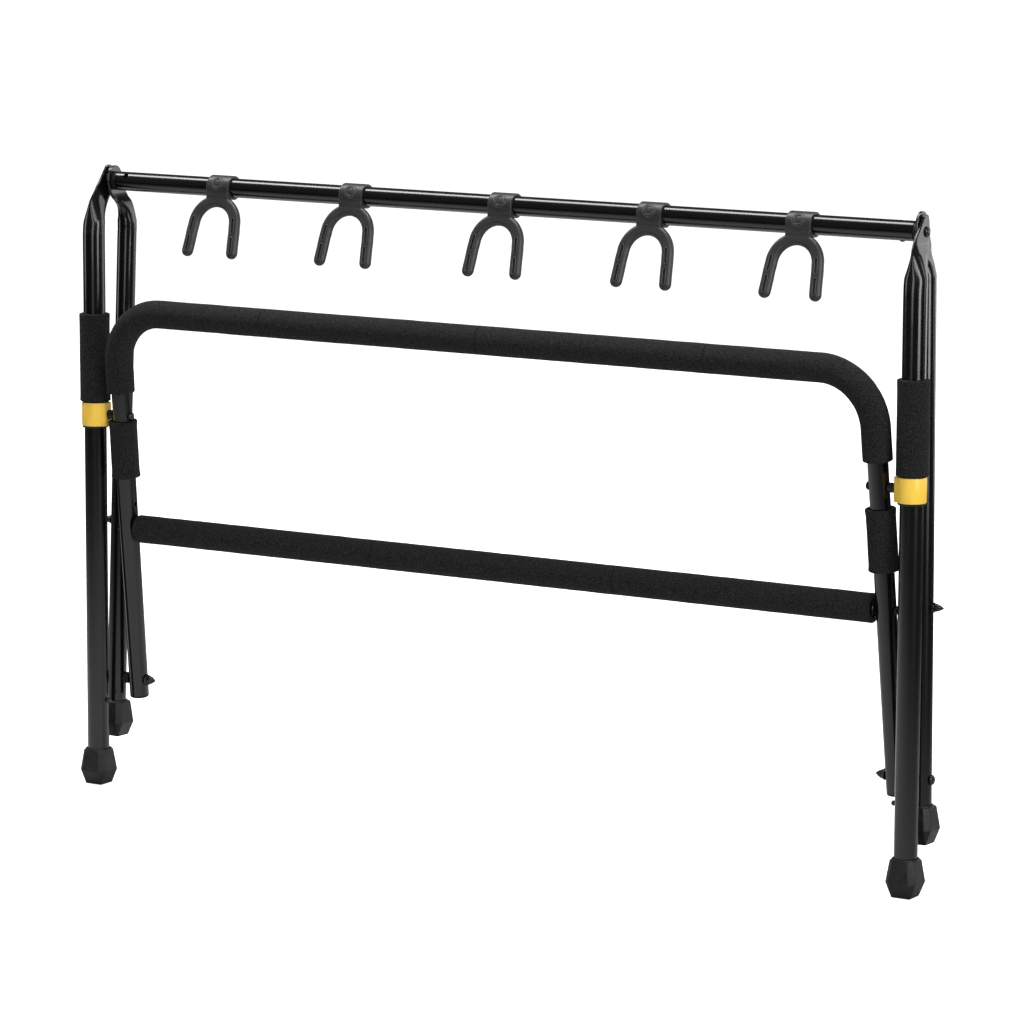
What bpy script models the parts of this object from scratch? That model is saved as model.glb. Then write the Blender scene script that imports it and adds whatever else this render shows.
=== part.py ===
"""A folding floor rack for five guitars, shut flat and standing on its front feet. Metres, +Z up.

The bar runs along X, the front is -Y and the floor is Z = 0. The rear legs and the bar share one
axis at the top. The cradle swings on two collars that slide on the front legs.
"""

import math

import bmesh
import bpy
from mathutils import Matrix, Vector

# Top bar and the axis that the rear legs turn on
AXIS_Z = 0.700
BAR_RADIUS = 0.0108
BAR_WALL = 0.0014
BAR_END = 0.5090
PIN_PLACES = {"left": (math.radians(48), -0.4945), "right": (0.0, 0.4930)}

# Shift that puts the middle of the shut rack's depth at Y = 0
CENTRE_Y = 0.0154

# Front legs
FRONT_X = 0.524
FRONT_Y = -0.030
FRONT_RADIUS = 0.0127
FRONT_BEND_Z = 0.610
LEG_WALL = 0.0015
LEG_BOTTOM_Z = 0.008

# Rear legs lean forward and spread a little towards the floor
REAR_RADIUS = 0.0111
REAR_BEND_Z = 0.649
REAR_BEND_X = 0.5119
REAR_BEND_Y = 0.0184
REAR_SPREAD = 0.0211
REAR_LEAN = 0.0234
REAR_BOTTOM_Z = 0.058

# Pressed ends of the legs. The left front one stands further out than the right.
FRONT_PLATE_X = {"left": 0.5240, "right": 0.5193}
REAR_PLATE_X = 0.5154
REAR_TOP = {"left": 0.0174, "right": 0.0212}
PLATE_HALF = 0.0018

# Pivots
CRADLE_PIVOT_Z = 0.434
LINK_Y = 0.0065
LINK_Z = 0.120
STOP_Z = 0.099
BUMPER_Z = 0.304
BOLT_RADIUS = 0.0037
BOLT_HOLE = 0.0040
SMALL_BOLT_RADIUS = 0.0029
SMALL_BOLT_HOLE = 0.0032

# Cradle frame, drawn in its own sloping plane: across is X, up is along the frame
TUBE_RADIUS = 0.0111
TUBE_WALL = 0.0014
CRADLE_X = 0.4858
CRADLE_SPREAD = 0.0211
CRADLE_TOP = 0.1228
CRADLE_BOTTOM = -0.3345
CRADLE_BEND = 0.062
CROSS_UP = -0.1334
CROSS_RADIUS = 0.0095
SPARE_HOLE_UP = -0.1042

# Foam sleeves
FOAM_RADIUS = 0.0160
LEG_FOAM_RADIUS = 0.0173
FOAM_GAP = 0.0003
LEG_FOAM = (0.4485, 0.5495)
CRADLE_SEAMS = (-0.2775, 0.0060, 0.2890)
CRADLE_FOAM_END = 0.0278
CROSS_SEAMS = (-0.149, 0.163)
CROSS_FOAM_END = 0.4740
SIDE_FOAM_LEFT = (-0.0720, -0.0060)
SIDE_FOAM_RIGHT = (-0.0905, -0.0237)

# Collars
COLLAR_Z = (0.4203, 0.4472)
COLLAR_RADIUS = 0.0155
COLLAR_FLAT = 0.0188
COLLAR_FLAT_HALF = 0.0055

# Feet
FOOT_HEIGHT = 0.042
REAR_FOOT_Z = 0.051

# Yokes
YOKE_X = (-0.3640, -0.1850, 0.0090, 0.1960, 0.3765)
YOKE_TILT = math.radians(17.5)
YOKE_FORWARD = 0.0060
CLIP_HALF = 0.0150
CLIP_RADIUS = 0.0136
CLIP_BORE = 0.0112
ARCH_CENTRE = 0.0449
ARCH_RADIUS = 0.0275
PRONG_HALF = 0.0070
PRONG_THIN = 0.0045
PRONG_TIP = (0.0302, 0.0760)

X_AXIS = Vector((1, 0, 0))
Y_AXIS = Vector((0, 1, 0))
Z_AXIS = Vector((0, 0, 1))


def clear_scene():
    for item in list(bpy.data.objects):
        bpy.data.objects.remove(item, do_unlink=True)


def make_material(name, colour, roughness, metallic=0.0):
    material = bpy.data.materials.new(name)
    material.use_nodes = True
    shader = material.node_tree.nodes["Principled BSDF"]
    shader.inputs["Base Color"].default_value = (*colour, 1)
    shader.inputs["Roughness"].default_value = roughness
    shader.inputs["Metallic"].default_value = metallic
    return material


def paint(name):
    return make_material(name + "_black_paint", (0.020, 0.020, 0.022), 0.25, 0.3)


def foam(name):
    return make_material(name + "_foam", (0.045, 0.045, 0.048), 0.9)


def rubber(name):
    return make_material(name + "_rubber", (0.04, 0.04, 0.045), 0.7)


def hardware(name):
    return make_material(name + "_black_steel", (0.03, 0.03, 0.03), 0.35, 0.6)


def loft(name, rings, material, loop=False):
    """Skin a chain of equal rings. The ends are capped, or joined to each other for a loop."""
    shape = bmesh.new()
    levels = [[shape.verts.new(point) for point in ring] for ring in rings]
    pairs = list(zip(levels, levels[1:]))
    if loop:
        pairs.append((levels[-1], levels[0]))
    count = len(levels[0])
    for low, high in pairs:
        for i in range(count):
            j = (i + 1) % count
            shape.faces.new((low[i], low[j], high[j], high[i]))
    if not loop:
        shape.faces.new(levels[0])
        shape.faces.new(levels[-1])
    bmesh.ops.recalc_face_normals(shape, faces=shape.faces)
    data = bpy.data.meshes.new(name)
    shape.to_mesh(data)
    shape.free()
    item = bpy.data.objects.new(name, data)
    bpy.context.collection.objects.link(item)
    if material:
        data.materials.append(material)
    return item


def slot_ring(centre, across, over, half_across, half_over, sides):
    """A ring with round ends: half_across is the radius, stretched to half_over along over."""
    radius = min(half_across, half_over)
    points = []
    for i in range(sides):
        angle = 2 * math.pi * (i + 0.5) / sides
        a = math.cos(angle) * radius + math.copysign(half_across - radius, math.cos(angle))
        b = math.sin(angle) * radius + math.copysign(half_over - radius, math.sin(angle))
        points.append(centre + across * a + over * b)
    return points


def round_ring(centre, direction, radius, sides):
    """A circle of points around a direction, always started from the same side."""
    across = X_AXIS
    if abs(direction.dot(X_AXIS)) > 0.9:
        across = Y_AXIS
    across = (across - direction * across.dot(direction)).normalized()
    over = direction.cross(across)
    return slot_ring(centre, across, over, radius, radius, sides)


def turned(name, start, direction, profile, sides, material, loop=False):
    """A round part: profile is a list of (distance along the direction, radius)."""
    rings = [round_ring(start + direction * along, direction, r, sides) for along, r in profile]
    return loft(name, rings, material, loop)


def ring_part(name, start, direction, length, inner, outer, sides, material):
    """A plain tube open at both ends."""
    profile = [(0, outer), (length, outer), (length, inner), (0, inner)]
    return turned(name, start, direction, profile, sides, material, True)


def cutter(start, direction, length, radius, sides=12):
    """A plain cylinder used only to cut a hole."""
    item = turned("cutter", start, direction, [(0, radius), (length, radius)], sides, None)
    item.hide_render = True
    item.display_type = "WIRE"
    return item


def combine(item, other, operation):
    """Cut or join two shapes for good and drop the second."""
    step = item.modifiers.new("combine", "BOOLEAN")
    step.operation = operation
    step.solver = "EXACT"
    step.object = other
    graph = bpy.context.evaluated_depsgraph_get()
    result = bpy.data.meshes.new_from_object(item.evaluated_get(graph))
    item.modifiers.remove(step)
    item.data = result
    bpy.data.objects.remove(other, do_unlink=True)
    return item


def drill(item, start, direction, length, radius, sides=10):
    return combine(item, cutter(start, direction, length, radius, sides), "DIFFERENCE")


def tangents(points):
    """The direction of a path at each of its points."""
    steps = [(b - a).normalized() for a, b in zip(points, points[1:])]
    inner = [(a + b).normalized() for a, b in zip(steps, steps[1:])]
    return [steps[0]] + inner + [steps[-1]]


def swept_rings(points, normal, radii, sides):
    """Circles along a flat path, each square to it. normal is square to the path's plane."""
    rings = []
    for point, along, radius in zip(points, tangents(points), radii):
        rings.append(slot_ring(point, normal, along.cross(normal), radius, radius, sides))
    return rings


def swept_tube(name, points, normal, inner, outer, ease, sides, material):
    """A sleeve along a path, with its outer edges eased by a small amount at both ends."""
    first = points[0] + (points[1] - points[0]).normalized() * ease
    last = points[-1] + (points[-2] - points[-1]).normalized() * ease
    if ease:
        outside = [points[0], first] + points[1:-1] + [last, points[-1]]
        radii = [outer - ease] + [outer] * (len(outside) - 2) + [outer - ease]
    else:
        outside = points
        radii = [outer] * len(points)
    rings = swept_rings(outside, normal, radii, sides)
    inside = swept_rings(points, normal, [inner] * len(points), sides)
    return loft(name, rings + inside[::-1], material, True)


def rear_axis(z):
    """Centre of a right rear leg at a height below its bend."""
    drop = REAR_BEND_Z - z
    return Vector((REAR_BEND_X + REAR_SPREAD * drop, REAR_BEND_Y - REAR_LEAN * drop, z))


def side_of(point, side):
    return Vector((point[0] * side, point[1], point[2]))


CRADLE_SLOPE = math.atan2(LINK_Y - FRONT_Y, CRADLE_PIVOT_Z - LINK_Z)
CRADLE_UP = Vector((0, -math.sin(CRADLE_SLOPE), math.cos(CRADLE_SLOPE)))
CRADLE_NORMAL = Vector((0, -math.cos(CRADLE_SLOPE), -math.sin(CRADLE_SLOPE)))


def on_cradle(across, up):
    """A point of the cradle's plane, which passes through both of its pivots."""
    return Vector((across, FRONT_Y, CRADLE_PIVOT_Z)) + CRADLE_UP * up


def cradle_leg_x(up):
    return CRADLE_X - CRADLE_SPREAD * up


# ---------------------------------------------------------------- top bar


def pin_line(tag):
    """A point below the bar and the direction of the cross hole near one of its ends."""
    tilt, x = PIN_PLACES[tag]
    up = Vector((0, -math.sin(tilt), math.cos(tilt)))
    return Vector((x, 0, AXIS_Z)) - up * 0.02, up


def build_top_bar():
    start = Vector((-BAR_END, 0, AXIS_Z))
    bar = ring_part(
        "top_bar", start, X_AXIS, 2 * BAR_END, BAR_RADIUS - BAR_WALL, BAR_RADIUS, 20, paint("bar")
    )
    for tag in ("left", "right"):
        low, up = pin_line(tag)
        drill(bar, low, up, 0.04, SMALL_BOLT_HOLE)


def build_bar_plug(side, tag):
    """A black plug in each end of the bar, with a cap as wide as the bar against the leg."""
    inner = Vector((side * (BAR_END - 0.0235), 0, AXIS_Z))
    out = X_AXIS * side
    fit = BAR_RADIUS - BAR_WALL - 0.0003
    profile = [(0, fit), (0.0238, fit), (0.0238, 0.0106), (0.0273, 0.0106), (0.0278, 0.0100)]
    profile += [(0.0278, BOLT_HOLE), (0, BOLT_HOLE)]
    plug = turned("bar_plug_" + tag, inner, out, profile, 16, rubber("bar_plug_" + tag), True)
    low, up = pin_line(tag)
    drill(plug, low, up, 0.04, SMALL_BOLT_HOLE)


def build_bar_pins():
    """Small screws that hold the plugs, each put in from below and just proud of the bar."""
    for tag in ("left", "right"):
        spot, up = pin_line(tag)
        profile = [(0, 0.0021), (0.0011, SMALL_BOLT_RADIUS), (0.0075, SMALL_BOLT_RADIUS)]
        turned("bar_pin_" + tag, spot + up * 0.0081, up, profile, 10, hardware("bar_pin_" + tag))


def build_pivot_bolt(side, tag):
    """The bolt that the legs turn on, with a domed head outside the front leg."""
    face = FRONT_PLATE_X[tag] + PLATE_HALF + 0.0003
    start = Vector((side * (BAR_END - 0.0215), 0, AXIS_Z))
    reach = face - (BAR_END - 0.0215)
    profile = [(0, BOLT_RADIUS), (reach, BOLT_RADIUS), (reach, 0.0056)]
    profile += [(reach + 0.0009, 0.0055), (reach + 0.0017, 0.0044), (reach + 0.0020, 0.0022)]
    turned("pivot_bolt_" + tag, start, X_AXIS * side, profile, 12, hardware("pivot_bolt_" + tag))


def build_leg_washer():
    """A spacer that fills the wider gap between the two left legs."""
    inner = REAR_PLATE_X + PLATE_HALF + 0.0004
    outer = FRONT_PLATE_X["left"] - PLATE_HALF - 0.0004
    spot = Vector((-inner, 0, AXIS_Z))
    grey = rubber("leg_washer_left")
    ring_part("leg_washer_left", spot, -X_AXIS, outer - inner, BOLT_HOLE, 0.0075, 12, grey)


# ---------------------------------------------------------------- legs


def pressed_ring(side, z, x, front, back, half, full, sides=16):
    """A level slice of a flattened tube: an oval, full across, cut off flat at half each side."""
    middle = (front + back) / 2
    reach = (back - front) / 2
    points = []
    for i in range(sides):
        angle = 2 * math.pi * (i + 0.5) / sides
        across = max(-half, min(half, full * math.cos(angle)))
        points.append(Vector((side * (x + across), middle + reach * math.sin(angle), z)))
    return points


def front_leg_rings(side, tag):
    rings = []
    radius = FRONT_RADIUS
    inner = radius - LEG_WALL
    for z, r in ((FRONT_BEND_Z - 0.02, inner), (LEG_BOTTOM_Z, inner), (LEG_BOTTOM_Z, radius)):
        rings.append(pressed_ring(side, z, FRONT_X, FRONT_Y - r, FRONT_Y + r, r, r))
    # height from the axis, share of the way out to the tube's centre, front, back, half, full
    levels = (
        (-0.0760, 1.00, -0.0427, -0.0173, 0.0127, 0.0127),
        (-0.0600, 1.00, -0.0425, -0.0173, 0.0127, 0.0127),
        (-0.0500, 1.00, -0.0421, -0.0172, 0.0127, 0.0127),
        (-0.0455, 1.00, -0.0417, -0.0166, 0.0123, 0.0127),
        (-0.0385, 1.00, -0.0410, -0.0142, 0.0104, 0.0116),
        (-0.0305, 0.92, -0.0396, -0.0090, 0.0080, 0.0096),
        (-0.0220, 0.75, -0.0368, -0.0020, 0.0052, 0.0070),
        (-0.0165, 0.40, -0.0334, 0.0025, 0.0036, 0.0056),
        (-0.0100, 0.10, -0.0281, 0.0070, 0.0022, 0.0046),
        (-0.0050, 0.00, -0.0238, 0.0078, PLATE_HALF, 0.0042),
        (0.0020, 0.00, -0.0172, 0.0078, PLATE_HALF, 0.0042),
        (0.0080, 0.00, -0.0122, 0.0070, PLATE_HALF, 0.0042),
        (0.0140, 0.00, -0.0072, 0.0053, PLATE_HALF, 0.0042),
        (0.0178, 0.00, -0.0040, 0.0030, PLATE_HALF, 0.0042),
    )
    plate = FRONT_PLATE_X[tag]
    for rise, share, front, back, half, full in levels:
        x = plate + (FRONT_X - plate) * share
        rings.append(pressed_ring(side, AXIS_Z + rise, x, front, back, half, full))
    return rings


def rear_leg_rings(side, tag):
    rings = []
    radius = REAR_RADIUS
    inner = radius - LEG_WALL
    for z, r in ((0.60, inner), (REAR_BOTTOM_Z, inner), (REAR_BOTTOM_Z, radius), (0.640, radius)):
        spot = rear_axis(z)
        rings.append(pressed_ring(side, z, spot.x, spot.y - r, spot.y + r, r, r))
    # height from the axis, centre, front, back, half, full
    levels = (
        (-0.0540, 0.5119, 0.0073, 0.0295, 0.0111, 0.0111),
        (-0.0480, 0.5119, 0.0072, 0.0294, 0.0108, 0.0111),
        (-0.0410, 0.5119, 0.0068, 0.0289, 0.0098, 0.0109),
        (-0.0343, 0.5119, 0.0052, 0.0280, 0.0084, 0.0102),
        (-0.0290, 0.5118, 0.0020, 0.0270, 0.0066, 0.0090),
        (-0.0240, 0.5122, -0.0030, 0.0256, 0.0050, 0.0074),
        (-0.0187, 0.5142, -0.0078, 0.0230, 0.0030, 0.0054),
        (-0.0125, REAR_PLATE_X, -0.0108, 0.0196, PLATE_HALF, 0.0042),
        (-0.0060, REAR_PLATE_X, -0.0130, 0.0170, PLATE_HALF, 0.0042),
        (0.0010, REAR_PLATE_X, -0.0150, 0.0150, PLATE_HALF, 0.0042),
        (0.0080, REAR_PLATE_X, -0.0148, 0.0125, PLATE_HALF, 0.0042),
    )
    for rise, x, front, back, half, full in levels:
        rings.append(pressed_ring(side, AXIS_Z + rise, x, front, back, half, full))
    top = REAR_TOP[tag] - 0.0080
    for share, front, back in ((0.47, -0.0118, 0.0095), (0.80, -0.0080, 0.0062), (1.0, -0.0042, 0.0028)):
        z = AXIS_Z + 0.0080 + top * share
        rings.append(pressed_ring(side, z, REAR_PLATE_X, front, back, PLATE_HALF, 0.0042))
    return rings


def build_front_leg(side, tag):
    leg = loft("front_leg_" + tag, front_leg_rings(side, tag), paint("front_leg_" + tag))
    out = X_AXIS * side
    drill(leg, Vector((side * 0.505, 0, AXIS_Z)), out, 0.030, BOLT_HOLE)
    drill(leg, Vector((side * 0.505, FRONT_Y, STOP_Z)), out, 0.015, SMALL_BOLT_HOLE)


def build_rear_leg(side, tag):
    leg = loft("rear_leg_" + tag, rear_leg_rings(side, tag), paint("rear_leg_" + tag))
    out = X_AXIS * side
    drill(leg, Vector((side * 0.490, 0, AXIS_Z)), out, 0.050, BOLT_HOLE)
    drill(leg, Vector((side * 0.490, LINK_Y, LINK_Z)), out, 0.060, BOLT_HOLE)
    drill(leg, side_of((0.490, rear_axis(BUMPER_Z).y, BUMPER_Z), side), out, 0.060, SMALL_BOLT_HOLE)


def build_stop_pin(side, tag):
    """A peg on the inner side of each front leg where the collar stops."""
    start = Vector((side * 0.5068, FRONT_Y, STOP_Z))
    profile = [(0, 0.0023), (0.0006, SMALL_BOLT_RADIUS), (0.0066, SMALL_BOLT_RADIUS)]
    turned("stop_pin_" + tag, start, X_AXIS * side, profile, 12, hardware("stop_pin_" + tag))


def foot_ring(centre, up, flat, cut):
    """A square outline with its corners cut off. cut is half the length of each flat side."""
    across = (X_AXIS - up * up.x).normalized()
    over = up.cross(across)
    points = []
    for _ in range(4):
        for a, b in ((flat, 0), (flat, cut), (cut, flat)):
            points.append(centre + across * a + over * b)
        across, over = over, -across
    return points


def foot_circle(centre, up, radius):
    """A circle with its points where the cut square has its own."""
    across = (X_AXIS - up * up.x).normalized()
    over = up.cross(across)
    points = []
    for quarter in range(4):
        for step in (0, 33, 57):
            angle = math.radians(90 * quarter + step)
            points.append(centre + (across * math.cos(angle) + over * math.sin(angle)) * radius)
    return points


def build_foot(name, floor, up, bore, width):
    """A rubber boot, square at the floor and nearly round at its rim, with a well for the tube."""
    outline = (
        (0.0000, 0.0106, 0.0101),
        (0.0010, 0.0113, 0.0107),
        (0.0160, 0.0176, 0.0118),
        (0.0172, 0.0176, 0.0117),
        (0.0398, 0.0146, 0.0092),
    )
    rings = [foot_ring(floor + up * h, up, flat * width, cut * width) for h, flat, cut in outline]
    rim = bore + 0.0016
    rings.append(foot_circle(floor + up * (FOOT_HEIGHT - 0.0003), up, rim + 0.0004))
    rings.append(foot_circle(floor + up * FOOT_HEIGHT, up, rim))
    rings.append(foot_circle(floor + up * FOOT_HEIGHT, up, bore * 1.045))
    rings.append(foot_circle(floor + up * 0.0065, up, bore * 1.045))
    loft(name, rings, rubber(name))


def build_feet():
    for side, tag in ((-1, "left"), (1, "right")):
        floor = Vector((side * FRONT_X, FRONT_Y, 0))
        build_foot("front_foot_" + tag, floor, Z_AXIS, FRONT_RADIUS + 0.0004, 1.0)
        floor = side_of(rear_axis(REAR_FOOT_Z), side)
        up = (side_of(rear_axis(0.5), side) - floor).normalized()
        build_foot("rear_foot_" + tag, floor, up, REAR_RADIUS + 0.0004, 0.96)


def build_leg_foam(side, tag):
    low, high = LEG_FOAM
    points = [Vector((side * FRONT_X, FRONT_Y, z)) for z in (low, high)]
    swept_tube(
        "leg_foam_" + tag,
        points,
        X_AXIS,
        FRONT_RADIUS + FOAM_GAP,
        LEG_FOAM_RADIUS,
        0.0012,
        16,
        foam("leg_foam_" + tag),
    )


# ---------------------------------------------------------------- collars


def build_slider(side, tag):
    """The black sleeve that slides on the front leg, with a lip under the yellow cover."""
    low, high = COLLAR_Z
    start = Vector((side * FRONT_X, FRONT_Y, low - 0.0022))
    top = high - low + 0.0018
    profile = [(0, 0.0150), (0.0019, 0.0150), (0.0019, 0.0140), (top, 0.0140)]
    profile += [(top, 0.0130), (0, 0.0130)]
    slider = turned("slider_" + tag, start, Z_AXIS, profile, 24, rubber("slider_" + tag), True)
    spot = Vector((side * 0.505, FRONT_Y, CRADLE_PIVOT_Z))
    drill(slider, spot, X_AXIS * side, 0.012, BOLT_HOLE)


def collar_reach(angle):
    """How far the cover reaches at an angle: a circle drawn out to a flat face."""
    corner = math.atan2(COLLAR_FLAT_HALF, COLLAR_FLAT)
    far = math.hypot(COLLAR_FLAT_HALF, COLLAR_FLAT)
    touch = corner + math.acos(COLLAR_RADIUS / far)
    fold = min(angle, 2 * math.pi - angle)
    if fold < corner:
        return COLLAR_FLAT / math.cos(fold)
    if fold < touch:
        return COLLAR_RADIUS / math.cos(touch - fold)
    return COLLAR_RADIUS


def collar_ring(side, z, swell, sides=24):
    """A slice of the cover, with its flat face on the inner side of the leg."""
    points = []
    for i in range(sides):
        angle = 2 * math.pi * i / sides
        r = collar_reach(angle)
        x = FRONT_X - (r + swell) * math.cos(angle)
        points.append(Vector((side * x, FRONT_Y + (r + swell) * math.sin(angle), z)))
    return points


def build_collar(side, tag):
    """The yellow cover of the slider."""
    low, high = COLLAR_Z
    levels = ((low, -0.0006), (low + 0.0007, 0.0), (high - 0.0007, 0.0), (high, -0.0006))
    rings = [collar_ring(side, z, swell) for z, swell in levels]
    for z in (high, low):
        ring = []
        for i in range(24):
            angle = 2 * math.pi * i / 24
            x = FRONT_X - 0.0143 * math.cos(angle)
            ring.append(Vector((side * x, FRONT_Y + 0.0143 * math.sin(angle), z)))
        rings.append(ring)
    yellow = make_material("collar_yellow_" + tag, (0.93, 0.72, 0.20), 0.4)
    collar = loft("collar_" + tag, rings, yellow, True)
    spot = Vector((side * 0.5045, FRONT_Y, CRADLE_PIVOT_Z))
    drill(collar, spot, X_AXIS * side, 0.012, BOLT_HOLE)


def build_cradle_bolt(side, tag):
    """The bolt from the slider through the cradle's tube, with a domed nut on the inner side."""
    head = CRADLE_X - TUBE_RADIUS - 0.0003
    start = Vector((side * (FRONT_X - 0.0135), FRONT_Y, CRADLE_PIVOT_Z))
    reach = FRONT_X - 0.0135 - head
    profile = [(0, BOLT_RADIUS), (reach, BOLT_RADIUS), (reach, 0.0049), (reach + 0.0014, 0.0047)]
    profile += [(reach + 0.0028, 0.0036), (reach + 0.0035, 0.0018)]
    name = "cradle_bolt_" + tag
    turned(name, start, X_AXIS * -side, profile, 12, hardware(name))
    outer = FRONT_X - COLLAR_FLAT - 0.0003
    inner = CRADLE_X + TUBE_RADIUS + 0.0004
    name = "cradle_spacer_" + tag
    spot = Vector((side * inner, FRONT_Y, CRADLE_PIVOT_Z))
    ring_part(name, spot, X_AXIS * side, outer - inner, BOLT_HOLE, 0.0053, 12, rubber(name))


# ---------------------------------------------------------------- cradle


def cradle_path():
    """Centre line of the bent tube from the left foot over the top to the right foot."""
    lean = math.atan(CRADLE_SPREAD)
    turn = math.pi / 2 - lean
    cut = CRADLE_BEND * math.tan(turn / 2)
    corner = cradle_leg_x(CRADLE_TOP)
    centre_x = corner - cut
    centre_up = CRADLE_TOP - CRADLE_BEND
    half = [(0, CRADLE_TOP)]
    for i in range(7):
        angle = math.pi / 2 - turn * i / 6
        x = centre_x + CRADLE_BEND * math.cos(angle)
        half.append((x, centre_up + CRADLE_BEND * math.sin(angle)))
    half.append((cradle_leg_x(CRADLE_BOTTOM), CRADLE_BOTTOM))
    left = [(-x, up) for x, up in half[:0:-1]]
    return [on_cradle(x, up) for x, up in left + half[1:]]


def path_between(points, start, end):
    """The stretch of a path between two lengths measured from its middle."""
    lengths = [0.0]
    for a, b in zip(points, points[1:]):
        lengths.append(lengths[-1] + (b - a).length)
    start += lengths[-1] / 2
    end += lengths[-1] / 2
    result = [point_at(points, lengths, start)]
    for point, length in zip(points, lengths):
        if start + 0.002 < length < end - 0.002:
            result.append(point)
    result.append(point_at(points, lengths, end))
    return result


def point_at(points, lengths, place):
    for i in range(len(points) - 1):
        if lengths[i + 1] >= place:
            share = (place - lengths[i]) / (lengths[i + 1] - lengths[i])
            return points[i].lerp(points[i + 1], share)
    return points[-1]


def leg_length_at(points, up):
    """Length from the path's middle to a height on either upright."""
    total = sum((b - a).length for a, b in zip(points, points[1:]))
    return total / 2 - (up - CRADLE_BOTTOM) * math.hypot(1, CRADLE_SPREAD)


def build_cradle_tube():
    points = cradle_path()
    tube = swept_tube(
        "cradle_tube",
        points,
        CRADLE_NORMAL,
        TUBE_RADIUS - TUBE_WALL,
        TUBE_RADIUS,
        0,
        16,
        paint("cradle_tube"),
    )
    for side in (-1, 1):
        out = X_AXIS * side
        for up, radius in (
            (0.0, BOLT_HOLE),
            ((LINK_Z - CRADLE_PIVOT_Z) / math.cos(CRADLE_SLOPE), BOLT_HOLE),
            (CROSS_UP, SMALL_BOLT_HOLE),
            (SPARE_HOLE_UP, 0.0024),
        ):
            start = on_cradle(side * (cradle_leg_x(up) - 0.02), up)
            drill(tube, start, out, 0.04, radius)


def build_cradle_cap(side, tag):
    """A plastic plug in the open lower end of the cradle tube."""
    end = on_cradle(side * cradle_leg_x(CRADLE_BOTTOM), CRADLE_BOTTOM)
    up = (on_cradle(side * cradle_leg_x(0), 0) - end).normalized()
    fit = TUBE_RADIUS - TUBE_WALL - 0.0003
    profile = [(-0.0030, 0.0080), (-0.0024, 0.0100), (-0.0010, 0.0110), (-0.0003, 0.0110)]
    profile += [(-0.0003, fit), (0.0080, fit)]
    turned("cradle_cap_" + tag, end, up, profile, 16, rubber("cradle_cap_" + tag))


def build_cradle_foam():
    """Four foam sleeves butted end to end over the top of the cradle and round its bends."""
    points = cradle_path()
    end = leg_length_at(points, CRADLE_FOAM_END)
    marks = (-end,) + CRADLE_SEAMS + (end,)
    for i, (start, stop) in enumerate(zip(marks, marks[1:])):
        stretch = path_between(points, start + 0.0002, stop - 0.0002)
        name = "cradle_foam_" + str(i + 1)
        inner = TUBE_RADIUS + FOAM_GAP
        swept_tube(name, stretch, CRADLE_NORMAL, inner, FOAM_RADIUS, 0.0008, 16, foam(name))


def build_side_foam(side, tag, span):
    low, high = span
    points = [on_cradle(side * cradle_leg_x(up), up) for up in (low, high)]
    name = "side_foam_" + tag
    inner = TUBE_RADIUS + FOAM_GAP
    swept_tube(name, points, CRADLE_NORMAL, inner, FOAM_RADIUS, 0.0010, 16, foam(name))


def build_cross_bar():
    """The lower cross tube with its plugs, three foam sleeves and the bolts that hold it."""
    half = cradle_leg_x(CROSS_UP) - TUBE_RADIUS - 0.0004
    start = on_cradle(-half, CROSS_UP)
    ring_part("cross_tube", start, X_AXIS, 2 * half, 0.0083, CROSS_RADIUS, 16, paint("cross"))
    marks = (-CROSS_FOAM_END,) + CROSS_SEAMS + (CROSS_FOAM_END,)
    for i, (low, high) in enumerate(zip(marks, marks[1:])):
        name = "cross_foam_" + str(i + 1)
        points = [on_cradle(low + 0.0002, CROSS_UP), on_cradle(high - 0.0002, CROSS_UP)]
        inner = CROSS_RADIUS + FOAM_GAP
        swept_tube(name, points, CRADLE_NORMAL, inner, FOAM_RADIUS, 0.0008, 16, foam(name))
    for side, tag in ((-1, "left"), (1, "right")):
        name = "cross_plug_" + tag
        spot = on_cradle(side * (half - 0.015), CROSS_UP)
        fit = SMALL_BOLT_HOLE
        ring_part(name, spot, X_AXIS * side, 0.0148, fit, 0.0080, 12, rubber(name))
        name = "cross_bolt_" + tag
        face = cradle_leg_x(CROSS_UP) + TUBE_RADIUS + 0.0004
        spot = on_cradle(side * (half - 0.012), CROSS_UP)
        reach = face - (half - 0.012)
        profile = [(0, SMALL_BOLT_RADIUS), (reach, SMALL_BOLT_RADIUS), (reach, 0.0050)]
        profile += [(reach + 0.0012, 0.0048), (reach + 0.0024, 0.0030)]
        turned(name, spot, X_AXIS * side, profile, 12, hardware(name))


# ---------------------------------------------------------------- link bolts


def cap_nut_profile(reach, width, length):
    """A nut with a pointed cap, starting at a distance along the bolt."""
    return [
        (reach, width),
        (reach + 0.0016, width),
        (reach + 0.0020, width * 0.80),
        (reach + 0.0055, width * 0.76),
        (reach + length * 0.75, width * 0.50),
        (reach + length, width * 0.12),
    ]


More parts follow.
